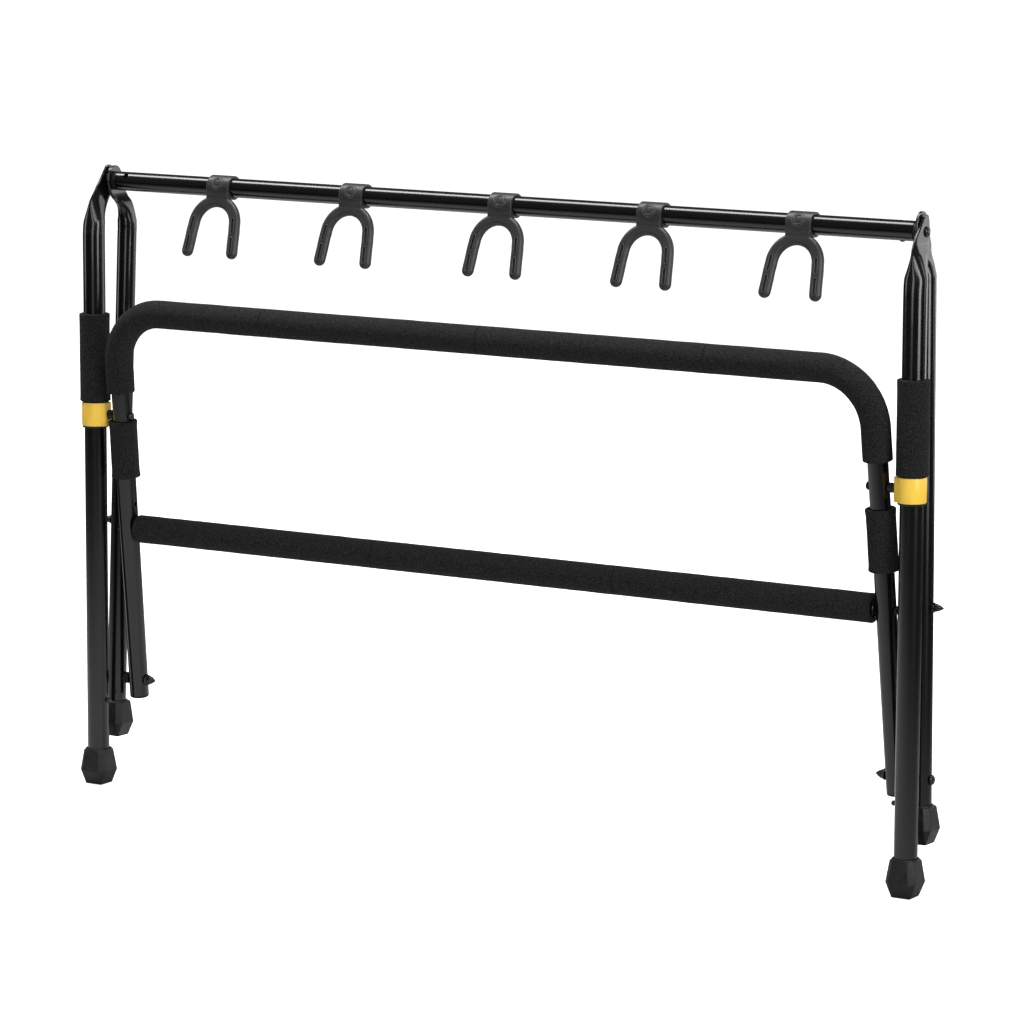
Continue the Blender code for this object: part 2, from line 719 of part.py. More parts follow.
def build_link_bolt(side, tag):
    """The bolt that ties the rear leg to the cradle, ending at a spacer between the two."""
    outer = rear_axis(LINK_Z).x + REAR_RADIUS + 0.0003
    up = (LINK_Z - CRADLE_PIVOT_Z) / math.cos(CRADLE_SLOPE)
    inner = cradle_leg_x(up) + TUBE_RADIUS + 0.0006
    start = Vector((side * inner, LINK_Y, LINK_Z))
    reach = outer - inner
    profile = [(0, BOLT_RADIUS), (reach, BOLT_RADIUS), (reach, 0.0056)]
    profile += [(reach + 0.0014, 0.0054), (reach + 0.0028, 0.0036), (reach + 0.0032, 0.0018)]
    name = "link_bolt_" + tag
    turned(name, start, X_AXIS * side, profile, 12, hardware(name))
    name = "link_spacer_" + tag
    spot = rear_axis(LINK_Z).x - REAR_RADIUS - 0.0003
    ring_part(name, start, X_AXIS * side, spot - inner, BOLT_HOLE, 0.0065, 12, rubber(name))
    name = "link_cap_" + tag
    face = cradle_leg_x(up) - TUBE_RADIUS - 0.0003
    stub = cradle_leg_x(up) + TUBE_RADIUS - 0.0004
    reach = stub - face
    profile = [(0, BOLT_RADIUS), (reach, BOLT_RADIUS)] + cap_nut_profile(reach, 0.0066, 0.0125)
    spot = Vector((side * stub, LINK_Y, LINK_Z))
    turned(name, spot, X_AXIS * -side, profile, 12, hardware(name))


def build_bumper_bolt(side, tag):
    """A bolt through the rear leg, with a low head inside and a pointed cap nut outside."""
    centre = rear_axis(BUMPER_Z)
    inner = centre.x - REAR_RADIUS - 0.0003
    outer = centre.x + REAR_RADIUS + 0.0003
    start = Vector((side * (inner - 0.0028), centre.y, BUMPER_Z))
    reach = outer - inner + 0.0028
    profile = [(0, 0.0030), (0.0012, 0.0048), (0.0028, 0.0050), (0.0028, SMALL_BOLT_RADIUS)]
    profile += [(reach, SMALL_BOLT_RADIUS)] + cap_nut_profile(reach, 0.0054, 0.0130)
    name = "bumper_bolt_" + tag
    turned(name, start, X_AXIS * side, profile, 12, hardware(name))


# ---------------------------------------------------------------- yokes


def yoke_point(x, across, down, forward):
    """A point of a yoke in its own tilted frame, measured from the bar's centre."""
    fall = Vector((0, -math.sin(YOKE_TILT), -math.cos(YOKE_TILT)))
    front = Vector((0, -math.cos(YOKE_TILT), math.sin(YOKE_TILT)))
    return Vector((x + across, 0, AXIS_Z)) + fall * down + front * forward


def fork_path():
    """Centre line of the fork in its own plane, from the left tip to the right tip."""
    tip_across, tip_down = PRONG_TIP
    side = [(tip_across, tip_down), (0.0290, 0.062)]
    for i in range(6):
        angle = math.pi / 2 * i / 5
        side.append((ARCH_RADIUS * math.cos(angle), ARCH_CENTRE - ARCH_RADIUS * math.sin(angle)))
    left = [(-across, down) for across, down in side]
    return left + side[-2::-1]


def fork_rings(x):
    """Rounded slices along the fork, closing to a round tip at each end."""
    path = fork_path()
    points = [yoke_point(x, across, down, YOKE_FORWARD) for across, down in path]
    front = (yoke_point(0, 0, 0, 1) - yoke_point(0, 0, 0, 0)).normalized()
    along = tangents(points)
    tips = ((0.0066, 0.0020, 0.0015), (0.0048, 0.0052, 0.0035), (0.0020, 0.0068, 0.0043))
    rings = []
    for step, wide, thin in tips:
        spot = points[0] - along[0] * step
        rings.append(slot_ring(spot, front, along[0].cross(front), thin, wide, 10))
    for spot, line in zip(points, along):
        rings.append(slot_ring(spot, front, line.cross(front), PRONG_THIN, PRONG_HALF, 10))
    for step, wide, thin in reversed(tips):
        spot = points[-1] + along[-1] * step
        rings.append(slot_ring(spot, front, along[-1].cross(front), thin, wide, 10))
    return rings


def clip_rings(x):
    """The two ends of the clip: most of a ring, open at the back."""
    start = math.radians(-142)
    end = math.radians(128)
    steps = 12
    rings = []
    for across in (-CLIP_HALF, CLIP_HALF):
        ring = []
        for radius, order in ((CLIP_RADIUS, range(steps + 1)), (0.0095, range(steps, -1, -1))):
            for i in order:
                angle = start + (end - start) * i / steps
                down = -radius * math.sin(angle)
                ring.append(yoke_point(x, across, down, radius * math.cos(angle)))
        rings.append(ring)
    return rings


def groove(x, ends, depth=0.0014, half=0.0011):
    """A long narrow cutter on the front face of a prong."""
    (a_across, a_down), (b_across, b_down) = ends
    rings = []
    length = math.hypot(b_across - a_across, b_down - a_down)
    side_across = (b_down - a_down) / length * half
    side_down = -(b_across - a_across) / length * half
    face = YOKE_FORWARD + PRONG_THIN
    for forward in (face - depth, face + 0.002):
        corners = (
            (a_across - side_across, a_down - side_down),
            (a_across + side_across, a_down + side_down),
            (b_across + side_across, b_down + side_down),
            (b_across - side_across, b_down - side_down),
        )
        rings.append([yoke_point(x, across, down, forward) for across, down in corners])
    item = loft("cutter", rings, None)
    item.hide_render = True
    item.display_type = "WIRE"
    return item


def build_yoke(number, x):
    name = "yoke_" + str(number)
    charcoal = make_material(name + "_moulded", (0.11, 0.11, 0.115), 0.6)
    yoke = loft(name, fork_rings(x), charcoal)
    combine(yoke, loft("clip", clip_rings(x), None), "UNION")
    drill(yoke, Vector((x - 0.04, 0, AXIS_Z)), X_AXIS, 0.08, CLIP_BORE, 20)
    for side in (-1, 1):
        upper = ((side * 0.0266, 0.0382), (side * 0.0284, 0.0528))
        lower = ((side * 0.0288, 0.0600), (side * 0.0299, 0.0755))
        for ends in (upper, lower):
            combine(yoke, groove(x, ends), "DIFFERENCE")


def pivot_of(name):
    """The point that a piece turns or slides from."""
    if name.startswith("yoke_"):
        return Vector((YOKE_X[int(name[-1]) - 1], 0, AXIS_Z))
    for start in ("cradle_foam", "cradle_tube", "cradle_cap", "side_", "cross_", "link_cap"):
        if name.startswith(start):
            return Vector((0, FRONT_Y, CRADLE_PIVOT_Z))
    for start in ("slider_", "collar_", "cradle_bolt", "cradle_spacer"):
        if name.startswith(start):
            return Vector((0, FRONT_Y, CRADLE_PIVOT_Z))
    for start in ("rear_", "link_", "bumper_", "top_bar", "bar_", "pivot_", "leg_washer"):
        if name.startswith(start):
            return Vector((0, 0, AXIS_Z))
    return Vector((0, FRONT_Y, 0))


def place_origins():
    """Centre the rack over the world's origin and give each piece an origin on its pivot."""
    centring = Vector((0, CENTRE_Y, 0))
    for item in bpy.data.objects:
        pivot = pivot_of(item.name)
        item.data.transform(Matrix.Translation(-pivot))
        item.location = pivot + centring


def build():
    clear_scene()
    build_top_bar()
    build_bar_pins()
    build_leg_washer()
    for side, tag in ((-1, "left"), (1, "right")):
        build_bar_plug(side, tag)
        build_pivot_bolt(side, tag)
        build_front_leg(side, tag)
        build_rear_leg(side, tag)
        build_stop_pin(side, tag)
        build_leg_foam(side, tag)
        build_slider(side, tag)
        build_collar(side, tag)
        build_cradle_bolt(side, tag)
        build_cradle_cap(side, tag)
        build_link_bolt(side, tag)
        build_bumper_bolt(side, tag)
    build_side_foam(-1, "left", SIDE_FOAM_LEFT)
    build_side_foam(1, "right", SIDE_FOAM_RIGHT)
    build_feet()
    build_cradle_tube()
    build_cradle_foam()
    build_cross_bar()
    for number, x in enumerate(YOKE_X, 1):
        build_yoke(number, x)
    place_origins()


build()
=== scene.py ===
"""Looks of a folding floor rack for five guitars, shut flat. Metres, +Z up, front towards -Y.

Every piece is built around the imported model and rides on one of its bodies. Y is measured from
the top bar's axis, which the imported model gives.
"""

import math

import bmesh
import bpy
from mathutils import Matrix, Vector, noise


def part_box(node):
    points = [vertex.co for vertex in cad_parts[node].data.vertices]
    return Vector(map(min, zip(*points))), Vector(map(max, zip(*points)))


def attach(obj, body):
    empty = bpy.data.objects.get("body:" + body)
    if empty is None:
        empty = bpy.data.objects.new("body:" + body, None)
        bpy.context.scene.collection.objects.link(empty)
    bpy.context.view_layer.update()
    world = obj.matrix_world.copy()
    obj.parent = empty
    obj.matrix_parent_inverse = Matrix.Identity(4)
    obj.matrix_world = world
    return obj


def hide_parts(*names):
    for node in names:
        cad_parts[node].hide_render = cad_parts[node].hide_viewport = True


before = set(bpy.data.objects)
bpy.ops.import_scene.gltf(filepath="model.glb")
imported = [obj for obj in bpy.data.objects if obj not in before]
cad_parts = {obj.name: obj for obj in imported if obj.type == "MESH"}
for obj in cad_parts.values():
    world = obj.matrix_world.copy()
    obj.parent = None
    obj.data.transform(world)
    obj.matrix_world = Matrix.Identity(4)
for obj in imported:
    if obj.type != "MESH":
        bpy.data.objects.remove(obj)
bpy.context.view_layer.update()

BAR_LOW, BAR_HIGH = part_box("top_bar")
AXIS = (BAR_LOW + BAR_HIGH) / 2
X_AXIS = Vector((1, 0, 0))
Y_AXIS = Vector((0, 1, 0))
Z_AXIS = Vector((0, 0, 1))
SIDES = ((-1, "left"), (1, "right"))

# Bar
BAR_RADIUS = 0.0108
BAR_WALL = 0.0014
BAR_END = 0.5090
RIVET_START = BAR_END - 0.0215
PIN_HOLE_LENGTH = 0.04
PIN_PLACES = {"left": (math.radians(48), -0.4945), "right": (0.0, 0.4930)}

# Legs
FRONT_X = 0.524
FRONT_Y = -0.030
FRONT_RADIUS = 0.0127
FRONT_BEND_Z = 0.610
LEG_WALL = 0.0015
LEG_BOTTOM_Z = 0.008
REAR_RADIUS = 0.0111
REAR_BEND_Z = 0.649
REAR_BEND_X = 0.5119
REAR_BEND_Y = 0.0184
REAR_SPREAD = 0.0211
REAR_LEAN = 0.0234
REAR_BOTTOM_Z = 0.058
FRONT_PLATE_X = {"left": 0.5240, "right": 0.5193}
REAR_PLATE_X = 0.5154
REAR_TOP = {"left": 0.0174, "right": 0.0212}
PLATE_HALF = 0.0018
PLATE_FULL = 0.0042
PINCH = 0.0005
CREASE = 0.00025

# Pivots and bolts
CRADLE_PIVOT_Z = 0.434
LINK_Y = 0.0065
LINK_Z = 0.120
STOP_Z = 0.099
BUMPER_Z = 0.304
BOLT_RADIUS = 0.0037
BOLT_HOLE = 0.0040
SMALL_BOLT_RADIUS = 0.0029
SMALL_BOLT_HOLE = 0.0032
CONE_LENGTH = 0.0125

# Cradle
TUBE_RADIUS = 0.0111
TUBE_WALL = 0.0014
CRADLE_X = 0.4858
CRADLE_SPREAD = 0.0211
CRADLE_TOP = 0.1228
CRADLE_BOTTOM = -0.3345
CRADLE_BEND = 0.062
CROSS_UP = -0.1334
CROSS_RADIUS = 0.0095
SPARE_HOLE_UP = -0.1042
SPARE_HOLE_RADIUS = 0.0024
FOAM_RADIUS = 0.0160
LEG_FOAM_RADIUS = 0.0173
FOAM_GAP = 0.0003
FOAM_SIDES = 56
WAY_REACH = 0.0025
LEG_FOAM = (0.4485, 0.5495)
CRADLE_SEAMS = (-0.2775, 0.0060, 0.2890)
CRADLE_FOAM_END = 0.0278
CROSS_SEAMS = (-0.149, 0.163)
CROSS_FOAM_END = 0.4740
SIDE_FOAM = {"left": (-0.0720, -0.0060), "right": (-0.0905, -0.0237)}

# Collars
COLLAR_Z = (0.4203, 0.4472)
COLLAR_RADIUS = 0.0155
COLLAR_FLAT = 0.0188
COLLAR_FLAT_HALF = 0.0055
COLLAR_BORE = 0.0143
COLLAR_SIDES = 128

# Feet
REAR_FOOT_Z = 0.051
REAR_FOOT_SIZE = 0.96
FOOT_RIM_CUT = 0.009

# Yokes
YOKE_X = (-0.3640, -0.1850, 0.0090, 0.1960, 0.3765)
YOKE_TILT = math.radians(17.5)
YOKE_FORWARD = 0.0060
CLIP_HALF = 0.0150
CLIP_RADIUS = 0.0136
CLIP_BORE = 0.0112
ARCH_CENTRE = 0.0449
ARCH_RADIUS = 0.0275
PRONG_HALF = 0.0070
PRONG_THIN = 0.0045
PRONG_TIP = (0.0302, 0.0760)
SLOT_DEPTH = 0.0017
SLOT_HALF = 0.00145
SLOT_RIM_HALF = 0.0018
RIM_THICK = 0.00042

CRADLE_SLOPE = math.atan2(LINK_Y - FRONT_Y, CRADLE_PIVOT_Z - LINK_Z)
CRADLE_UP = Vector((0, -math.sin(CRADLE_SLOPE), math.cos(CRADLE_SLOPE)))
CRADLE_NORMAL = Vector((0, -math.cos(CRADLE_SLOPE), -math.sin(CRADLE_SLOPE)))


def at(x, y, z):
    """A point of the rack, with y measured from the bar's axis."""
    return Vector((x, AXIS.y + y, z))


# ---------------------------------------------------------------- materials


class Recipe:
    """Builds one node material step by step."""

    def __init__(self, name):
        self.material = bpy.data.materials.new(name)
        self.material.use_nodes = True
        self.tree = self.material.node_tree
        self.shader = self.tree.nodes["Principled BSDF"]
        self.coords = self.tree.nodes.new("ShaderNodeTexCoord")

    def link(self, source, target):
        self.tree.links.new(source, target)

    def value(self, **values):
        for name, amount in values.items():
            self.shader.inputs[name.replace("_", " ")].default_value = amount

    def node(self, kind, **values):
        step = self.tree.nodes.new("ShaderNode" + kind)
        for name, amount in values.items():
            step.inputs[name.replace("_", " ")].default_value = amount
        return step

    def stretched(self, scale):
        step = self.node("Mapping", Scale=scale)
        self.link(self.coords.outputs["Object"], step.inputs["Vector"])
        return step.outputs["Vector"]

    def noise(self, scale, detail=3.0, rough=0.5, vector=None, distortion=0.0):
        step = self.node("TexNoise", Scale=scale, Detail=detail, Roughness=rough)
        step.inputs["Distortion"].default_value = distortion
        self.link(vector or self.coords.outputs["Object"], step.inputs["Vector"])
        return step.outputs["Fac"]

    def cells(self, scale):
        step = self.node("TexVoronoi", Scale=scale, Randomness=1.0)
        self.link(self.coords.outputs["Object"], step.inputs["Vector"])
        return step.outputs["Distance"]

    def span(self, source, low, high, out_low=0.0, out_high=1.0):
        step = self.node("MapRange", From_Min=low, From_Max=high, To_Min=out_low, To_Max=out_high)
        self.link(source, step.inputs["Value"])
        return step.outputs["Result"]

    def combine(self, kind, first, second):
        step = self.node("Math")
        step.operation = kind
        for socket, item in zip(step.inputs, (first, second)):
            if isinstance(item, (int, float)):
                socket.default_value = item
            else:
                self.link(item, socket)
        return step.outputs["Value"]

    def mix(self, factor, first, second):
        step = self.node("Mix")
        step.data_type = "RGBA"
        self.link(factor, step.inputs["Factor"])
        for socket, item in ((step.inputs[6], first), (step.inputs[7], second)):
            if isinstance(item, tuple):
                socket.default_value = (*item, 1)
            else:
                self.link(item, socket)
        return step.outputs[2]

    def touched(self, base, mask, amount, colour):
        """The base colour with another laid over it where the mask is high."""
        return self.mix(self.combine("MULTIPLY", mask, amount), base, colour)

    def colour(self, source):
        self.link(source, self.shader.inputs["Base Color"])

    def roughness(self, source):
        self.link(source, self.shader.inputs["Roughness"])

    def bump(self, height, distance, strength, below=None):
        step = self.node("Bump", Distance=distance, Strength=strength)
        self.link(height, step.inputs["Height"])
        if below:
            self.link(below, step.inputs["Normal"])
        self.link(step.outputs["Normal"], self.shader.inputs["Normal"])
        return step.outputs["Normal"]

    # Mask of the sharp convex edges: rubbed wear on some materials, a painted highlight on the
    # rubber and the charcoal moulding
    def edge_wear_and_highlight(self, low, high):
        return self.span(self.node("NewGeometry").outputs["Pointiness"], low, high)


def paint_material():
    """Black powder coat: a very faint orange peel under a glossy surface, with light rubbing."""
    make = Recipe("black_powder_coat")
    broad = make.span(make.noise(14, 4, 0.6), 0.35, 0.70)
    rub = make.noise(70, 6, 0.7, make.stretched((1.0, 1.0, 0.16)), 0.6)
    rubbed = make.span(rub, 0.60, 0.78)
    base = make.mix(broad, (0.0024, 0.0025, 0.0029), (0.0040, 0.0041, 0.0046))
    base = make.touched(base, rubbed, 0.25, (0.012, 0.012, 0.013))
    make.colour(base)
    level = make.span(make.noise(30, 2, 0.5), 0.3, 0.7, 0.185, 0.205)
    make.roughness(make.combine("ADD", level, make.combine("MULTIPLY", rubbed, 0.03)))
    make.bump(make.noise(260, 1, 0.4), 0.00003, 0.02)
    make.value(IOR=1.47, Coat_Weight=0.25, Coat_Roughness=0.06, Coat_IOR=1.45)
    return make.material


def foam_material():
    """Dense closed-cell sleeve foam: tiny open cells in the skin and a dusty sheen."""
    make = Recipe("black_sleeve_foam")
    cell = make.cells(1250)
    small = make.cells(2600)
    mottle = make.span(make.noise(95, 5, 0.65), 0.32, 0.70)
    speck = make.span(make.noise(700, 4, 0.75), 0.44, 0.66)
    base = make.mix(mottle, (0.0060, 0.0060, 0.0063), (0.0096, 0.0096, 0.0100))
    base = make.touched(base, speck, 0.85, (0.036, 0.036, 0.037))
    make.colour(base)
    make.roughness(make.span(speck, 0.0, 1.0, 0.94, 0.80))
    skin = make.bump(make.noise(380, 4, 0.65), 0.00060, 0.45)
    pits = make.combine("ADD", make.span(cell, 0.0, 0.45), make.span(small, 0.0, 0.4))
    make.bump(pits, 0.00022, 0.75, skin)
    make.value(Sheen_Weight=0.04, Sheen_Roughness=0.5, Sheen_Tint=(0.62, 0.62, 0.65, 1))
    make.value(IOR=1.40, Specular_IOR_Level=0.14)
    return make.material


def rubber_material():
    """Moulded rubber with a dull bloom, and a painted highlight: lighter colour on the raised
    places.
    """
    make = Recipe("moulded_black_rubber")
    bloom = make.span(make.noise(120, 5, 0.6), 0.35, 0.68)
    fine = make.noise(900, 4, 0.6)
    edge = make.edge_wear_and_highlight(0.505, 0.60)
    base = make.mix(bloom, (0.0044, 0.0046, 0.0052), (0.0086, 0.0088, 0.0097))
    # Painted highlight: a lighter grey laid over the sharp raised edges
    base = make.touched(base, edge, 0.30, (0.024, 0.025, 0.027))
    make.colour(base)
    make.roughness(make.span(make.noise(260, 4, 0.6), 0.3, 0.7, 0.38, 0.54))
    skin = make.bump(make.noise(260, 5, 0.65), 0.00045, 0.45)
    make.bump(fine, 0.00015, 0.50, skin)
    make.value(IOR=1.38)
    return make.material


def moulding_material():
    """Charcoal moulded plastic with a fine spark-eroded grain, and painted highlights on its sharp
    edges.
    """
    make = Recipe("charcoal_moulding")
    broad = make.span(make.noise(60, 4, 0.6), 0.35, 0.68)
    grain = make.noise(1500, 4, 0.65)
    edge = make.edge_wear_and_highlight(0.505, 0.58)
    base = make.mix(broad, (0.0205, 0.0206, 0.0213), (0.0285, 0.0287, 0.0296))
    # Painted highlight: a lighter grey laid over the sharp edges, the slot rims and the raised
    # rings
    base = make.touched(base, edge, 0.55, (0.085, 0.085, 0.088))
    make.colour(base)
    make.roughness(make.span(grain, 0.3, 0.7, 0.36, 0.48))
    skin = make.bump(make.noise(160, 3, 0.5), 0.00025, 0.15)
    make.bump(grain, 0.00010, 0.40, skin)
    make.value(IOR=1.46)
    return make.material


def yellow_material():
    """Warm yellow plastic, satin, with faint flow marks and rubbed edges."""
    make = Recipe("warm_yellow_plastic")
    flow = make.noise(45, 5, 0.6, make.stretched((1.0, 1.0, 0.35)), 0.4)
    broad = make.span(flow, 0.32, 0.70)
    edge = make.edge_wear_and_highlight(0.505, 0.60)
    base = make.mix(broad, (0.920, 0.560, 0.040), (0.985, 0.650, 0.068))
    base = make.touched(base, edge, 0.30, (0.93, 0.72, 0.25))
    make.colour(base)
    make.roughness(make.span(make.noise(300, 4, 0.6), 0.3, 0.7, 0.34, 0.46))
    make.bump(make.noise(480, 4, 0.55), 0.00006, 0.30)
    make.value(IOR=1.46)
    return make.material


def hardware_material():
    """Blackened steel of the bolts and nuts, brighter where it is rubbed."""
    make = Recipe("blackened_steel")
    broad = make.span(make.noise(300, 5, 0.6), 0.35, 0.68)
    edge = make.edge_wear_and_highlight(0.51, 0.62)
    base = make.mix(broad, (0.006, 0.006, 0.0065), (0.014, 0.014, 0.015))
    base = make.touched(base, edge, 0.40, (0.10, 0.10, 0.10))
    make.colour(base)
    make.roughness(make.span(make.noise(700, 4, 0.6), 0.3, 0.7, 0.18, 0.30))
    make.bump(make.noise(1100, 3, 0.6), 0.00004, 0.35)
    make.value(Metallic=0.45, IOR=1.6)
    return make.material


MATERIALS = {
    "painted_steel": paint_material(),
    "foam": foam_material(),
    "black_rubber": rubber_material(),
    "charcoal_moulding": moulding_material(),
    "yellow_plastic": yellow_material(),
    "black_hardware": hardware_material(),
}


# ---------------------------------------------------------------- mesh tools


def add_object(name, data):
    item = bpy.data.objects.new(name, data)
    bpy.context.scene.collection.objects.link(item)
    return item


def mesh_object(name, shape):
    """Turn a bmesh into an object of its own and free it."""
    data = bpy.data.meshes.new(name)
    shape.to_mesh(data)
    shape.free()
    return add_object(name, data)


def loft(name, rings, loop=False):
    """Skin a chain of equal rings. The ends are capped, or joined to each other for a loop."""
    shape = bmesh.new()
    levels = [[shape.verts.new(point) for point in ring] for ring in rings]
    pairs = list(zip(levels, levels[1:]))
    if loop:
        pairs.append((levels[-1], levels[0]))
    count = len(levels[0])
    for low, high in pairs:
        for i in range(count):
            j = (i + 1) % count
            shape.faces.new((low[i], low[j], high[j], high[i]))
    if not loop:
        shape.faces.new(levels[0])
        shape.faces.new(levels[-1])
    bmesh.ops.recalc_face_normals(shape, faces=shape.faces)
    return mesh_object(name, shape)


def shade(item, angle=32):
    """Smooth shading, with an edge kept crisp where its faces meet at more than the angle."""
    for face in item.data.polygons:
        face.use_smooth = True
    item.data.set_sharp_from_angle(angle=math.radians(angle))
    return item


def place(item, body, slot, *nodes, angle=32):
    """Give a finished piece its finish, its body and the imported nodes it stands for."""
    item.data.materials.clear()
    item.data.materials.append(MATERIALS[slot])
    if angle:
        shade(item, angle)
    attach(item, body)
    if nodes:
        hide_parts(*nodes)
    return item


def ring_angles(sides):
    """The angles of a ring's corners."""
    return [2 * math.pi * (i + 0.5) / sides for i in range(sides)]


def slot_ring(centre, across, over, half_across, half_over, sides):
    """A ring with round ends: half_across is the radius, stretched to half_over along over."""
    radius = min(half_across, half_over)
    points = []
    for angle in ring_angles(sides):
        a = math.cos(angle) * radius + math.copysign(half_across - radius, math.cos(angle))
        b = math.sin(angle) * radius + math.copysign(half_over - radius, math.sin(angle))
        points.append(centre + across * a + over * b)
    return points


def round_ring(centre, direction, radius, sides):
    across = X_AXIS
    if abs(direction.dot(X_AXIS)) > 0.9:
        across = Y_AXIS
    across = (across - direction * across.dot(direction)).normalized()
    return slot_ring(centre, across, direction.cross(across), radius, radius, sides)


def turned(name, start, direction, profile, sides=40, loop=False):
    """A round part: profile is a list of (distance along the direction, radius)."""
    rings = [round_ring(start + direction * along, direction, r, sides) for along, r in profile]
    return loft(name, rings, loop)


def turned_piece(name, ending, body, slot, start, direction, profile, sides=40, loop=False):
    """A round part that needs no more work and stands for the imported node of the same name."""
    return place(turned(name + ending, start, direction, profile, sides, loop), body, slot, name)


def cutter(start, direction, length, radius, sides=32):
    return turned("cutter", start, direction, [(0, radius), (length, radius)], sides)


def combine(item, other, operation):
    """Cut or join two shapes for good and drop the second."""
    step = item.modifiers.new("combine", "BOOLEAN")
    step.operation = operation
    step.solver = "EXACT"
    step.object = other
    apply_modifiers(item)
    bpy.data.objects.remove(other, do_unlink=True)
    return item


def apply_modifiers(item):
    graph = bpy.context.evaluated_depsgraph_get()
    result = bpy.data.meshes.new_from_object(item.evaluated_get(graph))
    item.modifiers.clear()
    item.data = result


def drill(item, start, direction, length, radius, sides=32):
    return combine(item, cutter(start, direction, length, radius, sides), "DIFFERENCE")


def curve_value(knots, place):
    """A smooth value between knots of (place, value, ...), one number for each value column."""
    if place <= knots[0][0]:
        return knots[0][1:]
    if place >= knots[-1][0]:
        return knots[-1][1:]
    i = max(k for k in range(len(knots) - 1) if knots[k][0] <= place)
    low, high = knots[i], knots[i + 1]
    before = knots[max(i - 1, 0)]
    after = knots[min(i + 2, len(knots) - 1)]
    width = high[0] - low[0]
    t = (place - low[0]) / width
    values = []
    for column in range(1, len(low)):
        rise = (high[column] - low[column]) / width
        rise_before = rise
        if low[0] > before[0]:
            rise_before = (low[column] - before[column]) / (low[0] - before[0])
        rise_after = rise
        if after[0] > high[0]:
            rise_after = (after[column] - high[column]) / (after[0] - high[0])
        start = 0.0 if rise * rise_before <= 0 else 2 * rise * rise_before / (rise + rise_before)
        end = 0.0 if rise * rise_after <= 0 else 2 * rise * rise_after / (rise + rise_after)
        a = 2 * t**3 - 3 * t**2 + 1
        b = t**3 - 2 * t**2 + t
        c = -2 * t**3 + 3 * t**2
        d = t**3 - t**2
        values.append(a * low[column] + b * width * start + c * high[column] + d * width * end)
    return tuple(values)


def steps(low, high, count):
    return [low + (high - low) * i / count for i in range(count + 1)]


def tangents(points):
    """The direction of a path at each of its points."""
    parts = [(b - a).normalized() for a, b in zip(points, points[1:])]
    inner = [(a + b).normalized() for a, b in zip(parts, parts[1:])]
    return [parts[0]] + inner + [parts[-1]]


def dome(reach, radius, height, count=7, flat=0.25):
    """Profile of a domed head that ends in a small flat."""
    rows = [(reach, radius * 0.93), (reach + 0.0002, radius)]
    for i in range(count + 1):
        turn = math.pi / 2 * i / count
        r = radius * (flat + (1 - flat) * math.cos(turn))
        rows.append((reach + 0.0004 + (height - 0.0004) * math.sin(turn), r))
    return rows


# ---------------------------------------------------------------- top bar


PIVOT_HEAD = (
    (0.0000, 0.0053),
    (0.0002, 0.0056),
    (0.0008, 0.0056),
    (0.0012, 0.0053),
    (0.0013, 0.0046),
    (0.0008, 0.0041),
    (0.0008, 0.0036),
    (0.0015, 0.0031),
    (0.0019, 0.0022),
    (0.0020, 0.0010),
)


def pin_line(tag):
    """Start and direction of the small pin through the bar, and of the holes for it."""
    tilt, x = PIN_PLACES[tag]
    up = Vector((0, -math.sin(tilt), math.cos(tilt)))
    return at(x, 0, AXIS.z) - up * 0.02, up


def build_bar():
    bore = BAR_RADIUS - BAR_WALL
    outside = [(-BAR_END, BAR_RADIUS - 0.0004), (-BAR_END + 0.0004, BAR_RADIUS)]
    outside += [(x, BAR_RADIUS) for x in (-0.5005, -0.4885)]
    outside += [(x, BAR_RADIUS) for x in steps(-0.45, 0.45, 18)]
    outside += [(x, BAR_RADIUS) for x in (0.487, 0.499)]
    outside += [(BAR_END - 0.0004, BAR_RADIUS), (BAR_END, BAR_RADIUS - 0.0004)]
    inside = [(BAR_END, bore), (-BAR_END, bore)]
    start = at(0, 0, AXIS.z)
    bar = turned("top_bar_tube", start, X_AXIS, outside + inside, 72, True)
    for tag in PIN_PLACES:
        low, up = pin_line(tag)
        drill(bar, low, up, PIN_HOLE_LENGTH, SMALL_BOLT_HOLE)
    place(bar, "front_frame", "painted_steel", "top_bar")
    for side, tag in SIDES:
        build_bar_end(side, tag)


def build_bar_end(side, tag):
    """The plug in one end of the bar, the pin through both, and the pivot's rivet."""
    inner = at(side * (BAR_END - 0.0235), 0, AXIS.z)
    fit = BAR_RADIUS - BAR_WALL - 0.0003
    profile = [(0, fit), (0.0238, fit), (0.0238, 0.0103), (0.0241, 0.0106), (0.0274, 0.0106)]
    profile += [(0.0277, 0.0104), (0.0278, 0.0100), (0.0278, BOLT_HOLE), (0, BOLT_HOLE)]
    name = "bar_plug_" + tag
    plug = turned(name + "_moulding", inner, X_AXIS * side, profile, 56, True)
    low, up = pin_line(tag)
    drill(plug, low, up, PIN_HOLE_LENGTH, SMALL_BOLT_HOLE)
    place(plug, "front_frame", "black_rubber", name)
    name = "bar_pin_" + tag
    profile = [(0, 0.0018), (0.0002, 0.0022), (0.0011, SMALL_BOLT_RADIUS)]
    profile += [(0.0075, SMALL_BOLT_RADIUS)]
    spot = low + up * 0.0081
    turned_piece(name, "_screw", "front_frame", "black_hardware", spot, up, profile, 32)
    name = "pivot_bolt_" + tag
    face = FRONT_PLATE_X[tag] + PLATE_HALF + 0.0003
    start = at(side * RIVET_START, 0, AXIS.z)
    reach = face - RIVET_START
    profile = [(0, BOLT_RADIUS), (reach, BOLT_RADIUS)]
    profile += [(reach + along, radius) for along, radius in PIVOT_HEAD]
    out = X_AXIS * side
    turned_piece(name, "_rivet", "front_frame", "black_hardware", start, out, profile, 56)


# ---------------------------------------------------------------- legs


